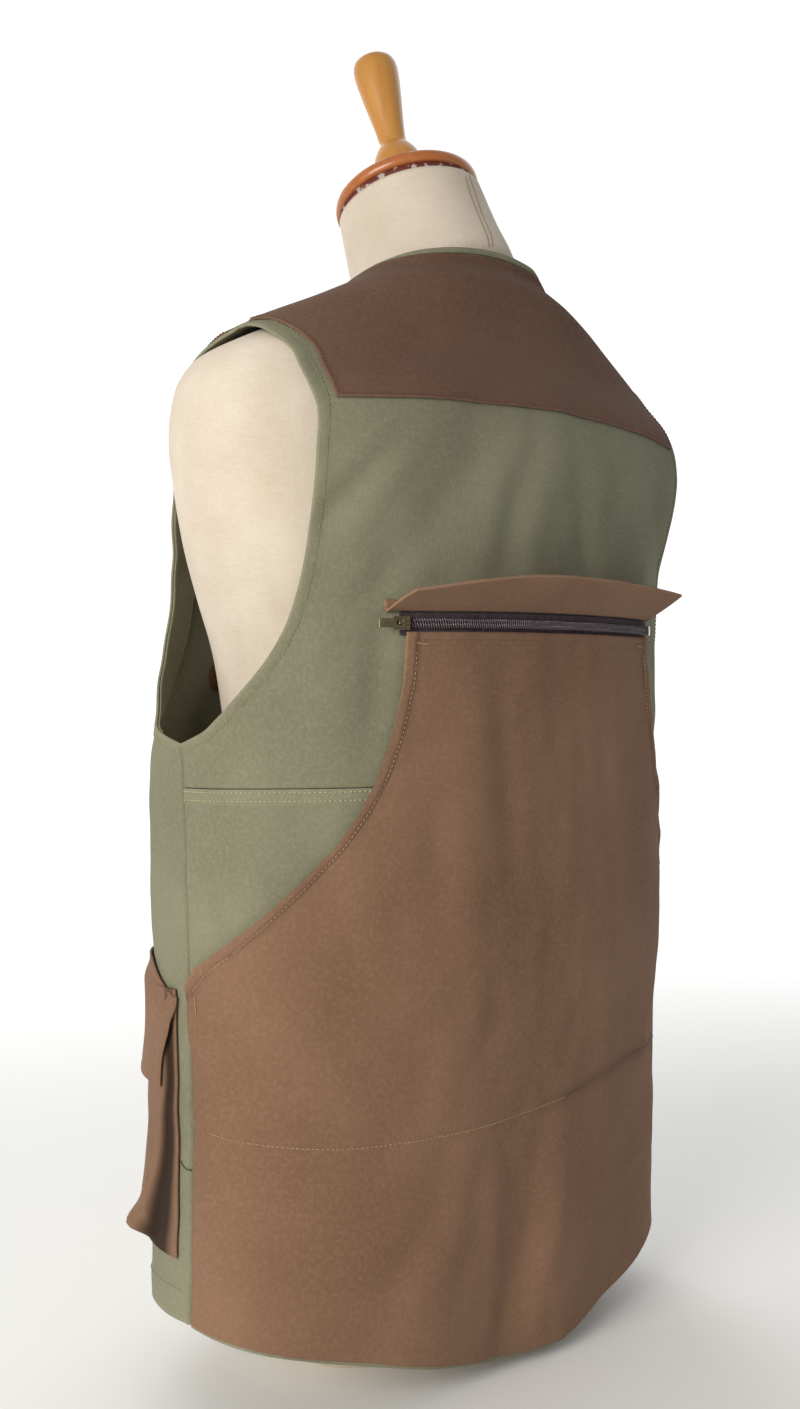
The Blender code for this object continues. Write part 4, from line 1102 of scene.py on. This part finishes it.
top_levels = np.unique(np.concatenate([UPPER_LEVELS[UPPER_LEVELS > 0.6405], [YOKE_TOP_CORNER]]))
rise_levels = UPPER_LEVELS[(UPPER_LEVELS > 0.6005) & (UPPER_LEVELS < 0.6405)]
low_levels = [YOKE_BACK + EDGE_STEPS[:8], np.arange(0.5880, 0.6002, 0.0026)]
back_levels = np.concatenate([*low_levels, rise_levels, top_levels])
front_levels = np.concatenate([YOKE_FRONT + EDGE_STEPS[:4] * 0.8, rise_levels[2:], top_levels])
back_angles = np.array(
    [columns_between(yoke_side(z, 1), 180 - yoke_side(z, 1), z, 90) for z in back_levels]
)
front_angles = np.array([columns_between(front_free(z), yoke_side(z, 2), z, 34) for z in front_levels])
edge_lines = []
for side, low in ((1, YOKE_BACK), (2, YOKE_FRONT)):
    line, heights = yoke_line(side, low)
    edge_lines += [gilet_place(line, heights, LAYER), gilet_place(180 - line, heights, LAYER)]
line = np.linspace(back_angles[0, 0], back_angles[0, -1], 120)
edge_lines.append(gilet_place(line, YOKE_BACK + 0 * line, LAYER))
line = np.linspace(front_angles[0, 0], front_angles[0, -1], 40)
edge_lines.append(gilet_place(line, YOKE_FRONT + 0 * line, LAYER))
edge_lines.append(gilet_place(180 - line, YOKE_FRONT + 0 * line, LAYER))
grids = []
for angles, heights in (
    (back_angles, back_levels),
    (front_angles, front_levels),
    (180 - front_angles[:, ::-1], front_levels),
):
    levels = heights[:, None] + 0 * angles
    flat_place = gilet_place(angles, levels, LAYER)
    distance = np.min([distance_to(flat_place, line) for line in edge_lines], axis=0)
    profile, pucker = turned_edge(distance, YOKE_STITCH, rise=0.0004, groove=0.0002)
    lift = LAYER + CLOTH + profile + PUCKER * pucker * ripple(angles * 3, levels * 3, 7)
    wear_and_shade = 0.35 * near(distance, 0.0014)
    grids.append((gilet_place(angles, levels, lift), flat_map(angles, levels), wear_and_shade))
yoke_canvas = canvas("dark_brown_canvas", YOKE_LIGHT, YOKE_MID, YOKE_DARK, BROWN_PAINTED_SHADE)
yoke_piece = grid_mesh("shoulder_yoke", grids, yoke_canvas, wall=CLOTH)
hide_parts("yoke")

yoke_thread = thread("rust_brown_thread", YOKE_THREAD)
runs = []
line = np.linspace(back_angles[0, 0] + 0.6, back_angles[0, -1] - 0.6, 240)
runs.append(surface_run(line, YOKE_BACK + YOKE_STITCH + 0 * line, LAYER + CLOTH + 0.0002))
for side, low, sign in ((1, YOKE_BACK, 1), (2, YOKE_FRONT, -1)):
    line, heights = yoke_line(side, low + 0.002)
    keep = heights < 0.640
    line, heights = line[keep] + sign * 0.62, heights[keep]
    runs += both_sides(line, heights, LAYER + CLOTH + 0.0002)
line = np.linspace(front_angles[0, 0] + 1, front_angles[0, -1] - 1, 60)
runs += both_sides(line, YOKE_FRONT + YOKE_STITCH + 0 * line, LAYER + CLOTH + 0.0002)
yoke_rows = sew("yoke_stitching", runs, yoke_thread, width=0.00036)

heights = np.linspace(BINDING_LOW, NECK_SIDE, 90)
line = np.array([front_free(z) for z in heights])
over_back = np.linspace(line[-1], 180 - line[-1], 120)[1:-1]
path_angles = np.concatenate([line, over_back, 180 - line[::-1]])
path_levels = np.concatenate([heights, NECK_SIDE + 0 * over_back, heights[::-1]])
normals = gilet_out(path_angles, path_levels)
path = gilet_place(path_angles, path_levels, 0.0006 * soft_step(YOKE_BACK, YOKE_FRONT, path_levels))
along = unit(np.gradient(path, axis=0))
outwards = np.cross(normals, along) * (BINDING_OVERLAP + BINDING_WIDTH) / 2
path = path + outwards + normals * BINDING_HALF_THICK
half_width = (BINDING_WIDTH - BINDING_OVERLAP) / 2
binding = band_along(
    "neckline_binding", path, normals, half_width, BINDING_HALF_THICK, olive_canvas, wear_and_shade=0.1
)
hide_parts("neck_binding")


# The game pocket: a brown canvas panel over the lower back, open along its curved sides, whose
# turned edge is topstitched in tan thread. A row of stitches crosses it near the hem.
POCKET_TOP = 0.4545
POCKET_HEM = 0.0085
POCKET_STAND_OFF = 0.0024
POCKET_SIDE = 2.6
POCKET_CORNER = 0.251
POCKET_RIPPLE = 0.00022
POCKET_EDGE = (
    # level, angle of the left edge
    (0.0500, 2.6),
    (0.2510, 2.6),
    (0.2630, 6.0),
    (0.2780, 12.0),
    (0.2950, 18.5),
    (0.3150, 25.0),
    (0.3370, 31.5),
    (0.3590, 36.5),
    (0.3760, 39.5),
    (0.3980, 42.3),
    (0.4280, 45.0),
    (0.4545, 46.3),
)
CROSS_ROW = (
    # angle, level of the row of stitches that crosses the panel
    (2.6, 0.1670),
    (30.0, 0.1600),
    (60.0, 0.1600),
    (90.0, 0.1640),
    (140.0, 0.1780),
    (177.4, 0.1700),
)
POCKET_CREASES = (
    (62.0, 0.300, 0.090, 0.013, 0.0012, -4.0),
    (53.0, 0.350, 0.060, 0.010, -0.0011, -8.0),
    (74.0, 0.340, 0.080, 0.012, -0.0009, 3.0),
    (96.0, 0.330, 0.070, 0.012, 0.0009, 2.0),
    (112.0, 0.360, 0.060, 0.011, -0.0010, 6.0),
    (40.0, 0.245, 0.050, 0.016, -0.0014, 30.0),
    (26.0, 0.220, 0.050, 0.014, 0.0010, 24.0),
    (70.0, 0.110, 0.060, 0.011, 0.0012, 2.0),
    (86.0, 0.090, 0.070, 0.015, -0.0008, -12.0),
    (98.0, 0.120, 0.060, 0.014, 0.0007, -8.0),
    (60.0, 0.360, 0.090, 0.020, 0.0016, 0.0),
    (42.0, 0.080, 0.060, 0.012, -0.0022, -27.0),
    (58.0, 0.120, 0.050, 0.012, 0.0016, -15.0),
    (78.0, 0.045, 0.040, 0.012, -0.0018, -30.0),
    (95.0, 0.060, 0.050, 0.012, 0.0012, -20.0),
    (138.0, 0.080, 0.060, 0.012, -0.0020, 25.0),
    (124.0, 0.110, 0.050, 0.012, 0.0014, 14.0),
    (120.0, 0.200, 0.070, 0.013, 0.0010, 10.0),
    (150.0, 0.180, 0.060, 0.012, -0.0012, -16.0),
    (30.0, 0.110, 0.050, 0.014, 0.0009, 6.0),
)
BAR_TACKS = (
    # angles of both ends, level of the first end and how much the other lies lower
    ((47.0, 51.0), 0.4487, 0.0012),
    ((129.0, 133.0), 0.4487, 0.0),
    ((5.2, 5.5), 0.2455, 0.0095),
    ((174.5, 174.8), 0.2455, 0.0095),
)
BROWN_LIGHT = "#9c7c64"
BROWN_MID = "#886a55"
BROWN_DARK = "#7a5d49"
TAN_THREAD = "#b39574"
# The darker brown of the row under the zip; also painted shade on the right half of the row across the
# pocket, which is sewn in tan thread.
BROWN_THREAD_AND_SHADE = "#6f4f3b"
POCKET_TURN = 0.0068
ZIP_TURN = 0.0046


def pocket_edge(level):
    """Angle of the panel's left edge."""
    return np.interp(level, [row[0] for row in POCKET_EDGE], [row[1] for row in POCKET_EDGE])


def pocket_unevenness(angles, levels):
    return fold_height(POCKET_CREASES, angles, levels) + POCKET_RIPPLE * ripple(angles, levels, 11)


def pocket_lift(angles, levels, edge):
    """Sewn down at side seams and hem, standing off a little elsewhere."""
    from_hem = soft_step(0.0, 0.10, levels - hem_level(angles))
    from_side = soft_step(0.0, 0.25, 1 - np.abs(edge) + 0.6 * soft_step(0.20, 0.25, levels))
    at_zip = 1 - soft_step(0.425, POCKET_TOP, levels)
    stand_off = POCKET_STAND_OFF * from_hem * from_side * (0.25 + 0.75 * at_zip)
    return LAYER + 0.0002 + 0.0010 * soft_step(0.20, 0.245, levels) + stand_off


side_hem = float(hem_level(POCKET_SIDE))
corner_share = (POCKET_CORNER - side_hem) / (POCKET_TOP - side_hem)
share = np.concatenate(
    [
        [0, 0.001, 0.003, 0.006],
        np.linspace(0.012, corner_share, 52),
        np.linspace(corner_share, 1 - 0.0215, 60)[1:],
        1 - EDGE_STEPS[::-1] / (POCKET_TOP - side_hem),
    ]
)
rows = []
for s in share:
    edge_level = side_hem * (1 - s) + POCKET_TOP * s
    edge_angle = float(pocket_edge(edge_level))
    rows.append(columns_between(edge_angle, 180 - edge_angle, edge_level, 100))
angles = np.array(rows)
low_level = np.maximum(hem_level(angles), HEM_BACK) + (POCKET_HEM - HEM_BACK)
levels = low_level * (1 - share[:, None]) + POCKET_TOP * share[:, None]
edge_share = (angles - 90) / (90 - angles[:, :1])
base = pocket_lift(angles, levels, edge_share)
edge_heights = np.linspace(POCKET_CORNER, POCKET_TOP, 120)
edge_angles = pocket_edge(edge_heights)
flat_place = gilet_place(angles, levels, LAYER)
from_edge = np.minimum(
    distance_to(flat_place, gilet_place(edge_angles, edge_heights, LAYER)),
    distance_to(flat_place, gilet_place(180 - edge_angles, edge_heights, LAYER)),
)
profile, pucker = turned_edge(from_edge, POCKET_TURN, rise=0.0012, groove=0.0007)
zip_profile, _ = turned_edge(POCKET_TOP - levels, ZIP_TURN, rise=0.0008, groove=0.0005)
cross_level = smooth_column(CROSS_ROW, 1, angles)
cross = -0.0004 * bell(levels - cross_level, 0.0014)
seam_side = from_sides(angles, POCKET_SIDE, 0.15)
at_side = -0.0007 * near(seam_side, 0.0016)
creases = pocket_unevenness(angles, levels)
lift = base + CLOTH + profile + zip_profile + cross + at_side + creases
lift += POCKET_RIPPLE * pucker * ripple(angles * 3, levels * 3, 9)
wear_and_shade = 0.55 * near(from_edge, 0.0016)
wear_and_shade += 0.2 * near(POCKET_TOP - levels, 0.002)
# Painted shade: darker along the crease at the cross row's right half, in the groove of the edge
# topstitching, and at the side seams below the corners.
wear_and_shade -= 0.22 * bell(levels - cross_level, 0.0045) * soft_step(80.0, 105.0, angles)
wear_and_shade -= 0.30 * bell(from_edge - POCKET_TURN, 0.0011)
wear_and_shade -= 0.35 * near(seam_side, 0.0012) * (levels < 0.25)
brown_canvas = canvas("brown_canvas", BROWN_LIGHT, BROWN_MID, BROWN_DARK, BROWN_PAINTED_SHADE)
pocket = grid_mesh(
    "game_pocket_panel",
    [(gilet_place(angles, levels, lift), flat_map(angles, levels), wear_and_shade)],
    brown_canvas,
    wall=CLOTH,
)
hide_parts("game_pocket")


def pocket_run(line, heights, raise_by):
    """A sewing line on the pocket's face."""
    spread = np.clip((line - 90) / (90 - pocket_edge(heights)), -1, 1)
    lift = pocket_lift(line, heights, spread) + CLOTH + raise_by
    return surface_run(line, heights, lift + pocket_unevenness(line, heights))


tan_thread = thread("tan_thread", TAN_THREAD)
runs = []
for flip in (False, True):
    heights = np.linspace(0.2530, 0.4455, 200)
    line = pocket_edge(heights)
    place = gilet_place(line, heights)
    along = np.gradient(place, axis=0)
    slope = np.abs(along[:, 2]) / np.linalg.norm(along, axis=1)
    line = line + degrees_for(POCKET_TURN, line, heights) * slope
    heights = heights - POCKET_TURN * np.sqrt(1 - slope**2)
    keep = heights > 0.236
    line, heights = line[keep], heights[keep]
    lift = pocket_lift(line, heights, np.full(len(line), 0.985)) + CLOTH + 0.0005
    lift = lift + pocket_unevenness(line, heights)
    runs.append(surface_run(180 - line if flip else line, heights, lift))
line = np.linspace(7.0, 100.0, 260)
runs.append(pocket_run(line, smooth_column(CROSS_ROW, 1, line), -0.0001))
pocket_rows = sew("pocket_stitching", runs, tan_thread)
runs = []
for (low, high), level, down in BAR_TACKS:
    line = np.linspace(low, high, 20)
    runs.append(pocket_run(line, level - down * np.linspace(0, 1, 20), 0.0003))
tacks = sew("pocket_bar_tacks", runs, tan_thread, 0.0011, 0.0004, part_sewn=0.95)
brown_thread = thread("brown_thread", BROWN_THREAD_AND_SHADE)
line = np.linspace(47.5, 132.5, 260)
runs = [pocket_run(line, POCKET_TOP - ZIP_TURN + 0 * line, 0.0002)]
# Painted shade: the right half of the cross row, sewn in the same tan thread as the left, is drawn in
# the darker brown.
line = np.linspace(100.5, 176.5, 200)
runs.append(pocket_run(line, smooth_column(CROSS_ROW, 1, line), -0.0001))
top_and_shaded_cross_rows = sew("pocket_top_stitching", runs, brown_thread)


# The zip: a dark woven tape set into the back above the pocket, with a coil chain down its
# middle. The antique brass slider rests at the wearer's left; a nickel stop closes the far end.
ZIP_LOW = 0.4525
ZIP_HIGH = 0.4655
ZIP_START = 45.4
ZIP_END = 138.0
CHAIN_START = 47.7
CHAIN_END = 135.6
COIL_PITCH = 0.0016
TAPE_COLOURS = ("#6d6066", "#4c4147", "#41373c", "#241c20")
COIL_COLOUR = "#5c5056"
WIRE_RADIUS = 0.00042

tape_fabric = canvas("zip_tape_twill", *TAPE_COLOURS, 0.6)
tape_edge = EDGE_STEPS[:5] / 0.013
share = np.concatenate([tape_edge, np.linspace(0.24, 0.76, 10), 1 - tape_edge[::-1]])
levels = (ZIP_LOW + (ZIP_HIGH - ZIP_LOW) * share)[:, None] + np.zeros((1, 220))
angles = np.linspace(ZIP_START, ZIP_END, 220)[None, :] + 0 * levels
from_rim = np.minimum(levels - ZIP_LOW, ZIP_HIGH - levels)
lift = LAYER + 0.0009 - 0.0004 * near(from_rim, 0.0008)
lift = lift + 0.0002 * ripple(angles * 4, levels * 4, 13)
tape = grid_mesh(
    "zip_tape_strip",
    [(gilet_place(angles, levels, lift), flat_map(angles, levels), 0.0)],
    tape_fabric,
    wall=0.0008,
)
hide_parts("zip_tape")

coil_plastic, _, shader = new_finish("nylon_coil")
set_shader(shader, base_color=COIL_COLOUR, roughness=0.16, coat_weight=0.8)
middle = (ZIP_LOW + ZIP_HIGH) / 2
line = np.linspace(CHAIN_START, CHAIN_END, 2000)
steps = np.linalg.norm(np.diff(gilet_place(line, middle), axis=0), axis=1)
run = np.concatenate([[0], np.cumsum(steps)])
count = int(run[-1] / COIL_PITCH)
at = np.interp(np.arange(count) * COIL_PITCH, run, line)
wires = []
for side in (-1, 1):
    shift = 0.25 if side > 0 else 0.0
    steps = np.linspace(0, count - 1, count * 6)
    turn = 2 * math.pi * (steps + shift)
    coil_angle = np.interp(steps, np.arange(count), at)
    height = middle + side * 0.00125 + 0.00135 * np.cos(turn)
    out = LAYER + 0.0022 + 0.0007 * np.sin(turn)
    wires.append((gilet_place(coil_angle, height, out), gilet_out(coil_angle, height)))
coil_grids = []
for path, normals in wires:
    along = unit(np.gradient(path, axis=0))
    first = unit(np.cross(along, normals))
    second = np.cross(along, first)
    ring = [
        path + WIRE_RADIUS * (first * math.cos(t) + second * math.sin(t))
        for t in np.radians([0, 72, 144, 216, 288])
    ]
    grid = np.array(ring + ring[:1])
    coil_grids.append((grid, np.zeros((*grid.shape[:2], 2)), 0.0))
chain = grid_mesh("zip_coil", coil_grids, coil_plastic)
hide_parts("zip_chain")

nickel, _, shader = new_finish("nickel_plate")
set_shader(shader, base_color="#e6e4de", metallic=1.0, roughness=0.22)
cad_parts["zip_end_stop"].data.materials[0] = nickel


# The storm flap: a doubled strip of brown canvas sewn flat above the zip, folded along its
# lower edge, and standing out from the back with its corners cut away.
FLAP_FOLD = 0.4648
FLAP_SEWN = 0.0065
FLAP_WIDTH = 0.036
FLAP_RISE = 32.0
FLAP_START = 42.5
FLAP_END = 137.5
FLAP_TAPER = (3.8, 5.0)
FLAP_HEIGHTS = (
    # share of the free edge from the wearer's left, share of the full height there
    (0.00, 0.59),
    (0.10, 0.77),
    (0.20, 0.92),
    (0.32, 1.00),
    (0.55, 1.00),
    (1.00, 0.80),
)
FLAP_THICK = 0.0016
FLAP_SEAM_ROWS = (
    # height above the fold, distance off the zip's layer
    (FLAP_SEWN, -0.0002), (FLAP_SEWN - 0.0003, 0.0), (0.0054, 0.0), (0.0042, 0.0),
    (0.0032, 0.0), (0.0022, 0.0001), (0.0012, 0.0003), (0.0006, 0.0007), (0.0004, 0.0012),
    (0.0004, 0.0018),
)
FLAP_STEPS = np.concatenate([np.linspace(0.03, 0.90, 22), [0.93, 0.95, 0.97, 0.985, 0.994, 1.0]])

near_tip = np.array([0, 0.0015, 0.004, 0.008, 0.014, 0.022])
far_tip = [0.978, 0.986, 0.992, 0.996, 0.9985, 1]
share = np.concatenate([near_tip, np.linspace(0.03, 0.97, 150), far_tip])
sewn = FLAP_START + (FLAP_END - FLAP_START) * share
free = FLAP_START + FLAP_TAPER[0] + (FLAP_END - FLAP_START - sum(FLAP_TAPER)) * share
tall = smooth_column(FLAP_HEIGHTS, 1, share)
rise = math.radians(FLAP_RISE)
rows = [gilet_place(sewn, FLAP_FOLD + height, LAYER + off) for height, off in FLAP_SEAM_ROWS]
edge_distance = np.minimum(share, 1 - share) * 0.24
for step in FLAP_STEPS:
    angle = sewn + (free - sewn) * step
    root = gilet_place(angle, FLAP_FOLD + 0.0004, LAYER + 0.0018)
    out = gilet_out(angle, FLAP_FOLD + 0 * angle)
    out[:, 2] = 0
    out = unit(out)
    reach = FLAP_WIDTH * step
    wave = 0.0005 * step * (1 - step) * np.sin(share * 31.0 + 1.0)
    root += out * (reach * math.cos(rise) * (0.75 + 0.25 * tall))[:, None]
    root[:, 2] += reach * math.sin(rise) * tall + (0.0035 * tall - 0.003) * step**2 + wave
    rows.append(root)
grid = np.array(rows)[::-1, ::-1]
normals = grid_normals(grid)
reach_rows = np.concatenate([np.zeros(len(FLAP_SEAM_ROWS)), FLAP_STEPS])[::-1, None]
from_rim = np.minimum((1 - reach_rows) * FLAP_WIDTH, edge_distance[None, ::-1])
profile, _ = turned_edge(from_rim, 0.0040, rise=0.0003, groove=0.0003)
grid = grid + normals * (-profile - FLAP_THICK)[..., None]
wear_and_shade = 0.5 * near(from_rim, 0.0012) + 0.12 * (1 - soft_step(0.0035, 0.0045, from_rim))
uv = np.broadcast_arrays(sewn[None, ::-1] * 0.0027, reach_rows * FLAP_WIDTH)
uv = np.stack(uv, axis=-1)
flap_grid = (grid[:, ::-1], uv[:, ::-1], wear_and_shade[:, ::-1])
flap_piece = grid_mesh("zip_storm_flap", [flap_grid], brown_canvas, wall=FLAP_THICK)
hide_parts("storm_flap")


# The front pockets: bellows bags of brown canvas that sag open at the bottom, each under its
# own flap. The edges beside the side seam are what shows from behind.
BAG_REAR = -2.2
BAG_FRONT = -60.0
BAG_LOW = 0.086
BAG_HIGH = 0.246
BAG_FLAP_HIGH = 0.262
BAG_FLAP_LOW = 0.186
BAG_FLAP_OVER = 0.6
BAG_LID_SLANT = 4.5
BAG_LID_DROP = 0.020
BAG_DEPTH = (
    # level, distance from the front to the pocket's inner face
    (0.086, 0.0112),
    (0.093, 0.0102),
    (0.100, 0.0078),
    (0.115, 0.0050),
    (0.130, 0.0040),
    (0.160, 0.0030),
    (0.200, 0.0022),
    (0.246, 0.0014),
)
BAG_RIM = (
    # level, degrees from the sewn edge to the rim of the gusset's valley
    (0.086, 13.5),
    (0.093, 12.8),
    (0.115, 9.8),
    (0.130, 7.3),
    (0.170, 4.6),
    (0.246, 3.6),
)
BAG_CREASES = (
    (-17.5, 0.096, 0.010, 0.0045, 0.0045, 62.0),
    (-14.0, 0.104, 0.012, 0.0035, -0.0026, 50.0),
    (-24.0, 0.130, 0.034, 0.008, -0.0018, -24.0),
    (-36.0, 0.110, 0.030, 0.008, 0.0018, 20.0),
    (-47.0, 0.125, 0.030, 0.007, -0.0020, -30.0),
    (-30.0, 0.180, 0.040, 0.010, 0.0012, 8.0),
    (-12.0, 0.170, 0.040, 0.007, -0.0014, 6.0),
)


def front_pocket_grid(rows, share, over):
    """Angles, levels, outer lift and painted shade of a pocket's face, or of its flap where over is
    set.
    """
    middle, half = (BAG_FRONT + BAG_REAR) / 2, (BAG_REAR - BAG_FRONT) / 2
    columns = middle + (half + over) * share
    angles, levels = np.meshgrid(columns, rows)
    sewn_lift = LAYER + 0.0005
    depth = smooth_column(BAG_DEPTH, 1, levels)
    from_sewn = (half + over) * (1 - np.abs(share))[None, :] + 0 * levels
    if over:
        # The flap's ends slant, and its seam falls away towards the side.
        slant = BAG_LID_SLANT * soft_step(BAG_FLAP_HIGH, BAG_FLAP_LOW, levels)
        angles = middle + (angles - middle) * (1 - slant / (half + over))
        drop = BAG_LID_DROP * near(from_sewn, 15.0)
        levels = levels - drop * soft_step(BAG_FLAP_LOW, BAG_FLAP_HIGH, levels)
        sewn = soft_step(BAG_FLAP_HIGH - 0.003, BAG_HIGH, levels + drop)
        low = soft_step(0.225, BAG_FLAP_LOW, levels)
        lift = sewn_lift + (np.maximum(depth, 0.0022) + CLOTH + 0.0016 * low) * sewn
        # Painted shade: the flap darkens towards its sewn ends.
        shade = -0.25 * near(from_sewn, 0.8)
    else:
        rim = smooth_column(BAG_RIM, 1, levels)
        side = soft_step(0.55, 1.0, from_sewn / rim)
        bottom = soft_step(BAG_LOW, BAG_LOW + 0.008, levels)
        lift = sewn_lift + depth * side * bottom
        lift = lift + fold_height(BAG_CREASES, angles, levels) * side * bottom
        # Painted shade: dark in the gusset's valley between the sewn edge and its rim, low on the bag.
        shade = -1.0 * soft_step(0.05, 0.35, from_sewn / rim)
        shade = shade * (1 - soft_step(0.70, 1.0, from_sewn / rim)) * soft_step(0.30, 0.20, levels)
    return angles, levels, lift + CLOTH, shade


def shares_with_ends(ends, inner):
    """Shares from -1 to 1 across a pocket, closer together near both ends."""
    ends = np.array(ends)
    return np.concatenate([-ends, np.linspace(-inner, inner, 70), ends[::-1]])


bag_share = shares_with_ends((1, 0.995, 0.985, 0.97, 0.955, 0.94, 0.925, 0.91, 0.895, 0.88), 0.86)
flap_share = shares_with_ends((1, 0.996, 0.99, 0.982, 0.97, 0.955, 0.94, 0.925), 0.91)
above_low = np.array([0, 0.0004, 0.001, 0.002, 0.0035, 0.005, 0.0065, 0.008, 0.010])
below_high = np.array([0.0026, 0.0016, 0.0008, 0.0003, 0])
bag_rows = np.concatenate([BAG_LOW + above_low, np.linspace(0.098, 0.2425, 62), BAG_HIGH - below_high])
flap_middle = [np.linspace(0.197, 0.245, 24), np.linspace(0.2465, 0.2605, 14)]
flap_rows = np.concatenate([BAG_FLAP_LOW + EDGE_STEPS, *flap_middle, [0.2612, BAG_FLAP_HIGH]])
bag_angles, bag_levels, bag_lift, bag_shade = front_pocket_grid(bag_rows, bag_share, 0.0)
lid_angles, lid_levels, lid_lift, lid_shade = front_pocket_grid(flap_rows, flap_share, BAG_FLAP_OVER)
lid_rim = np.minimum(lid_levels - BAG_FLAP_LOW, (1 - np.abs(flap_share))[None, :] * 0.085)
lid_profile, _ = turned_edge(lid_rim, 0.0055, rise=0.0005, groove=0.0003)
lid_wave = 0.0009 * soft_step(0.222, BAG_FLAP_LOW, lid_levels) * np.sin(np.radians(lid_angles) * 13)
lid_lift = lid_lift + lid_profile + lid_wave + 0.0004
# Edge wear on the flap's rim, plus its painted shade.
lid_wear_and_shade = 0.4 * near(lid_rim, 0.0014) + lid_shade
for side in ("left", "right"):
    for kind, angles, levels, lift, wear_and_shade in (
        ("", bag_angles, bag_levels, bag_lift, bag_shade),
        ("_flap", lid_angles, lid_levels, lid_lift, lid_wear_and_shade),
    ):
        if side == "right":
            angles, levels = 180 - angles[:, ::-1], levels[:, ::-1]
            lift, wear_and_shade = lift[:, ::-1], wear_and_shade[:, ::-1]
        made = grid_mesh(
            f"front_bag{kind}_{side}",
            [(gilet_place(angles, levels, lift), flat_map(angles, levels), wear_and_shade)],
            brown_canvas,
            wall=CLOTH,
        )
        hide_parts(f"front_pocket{kind}_{side}")
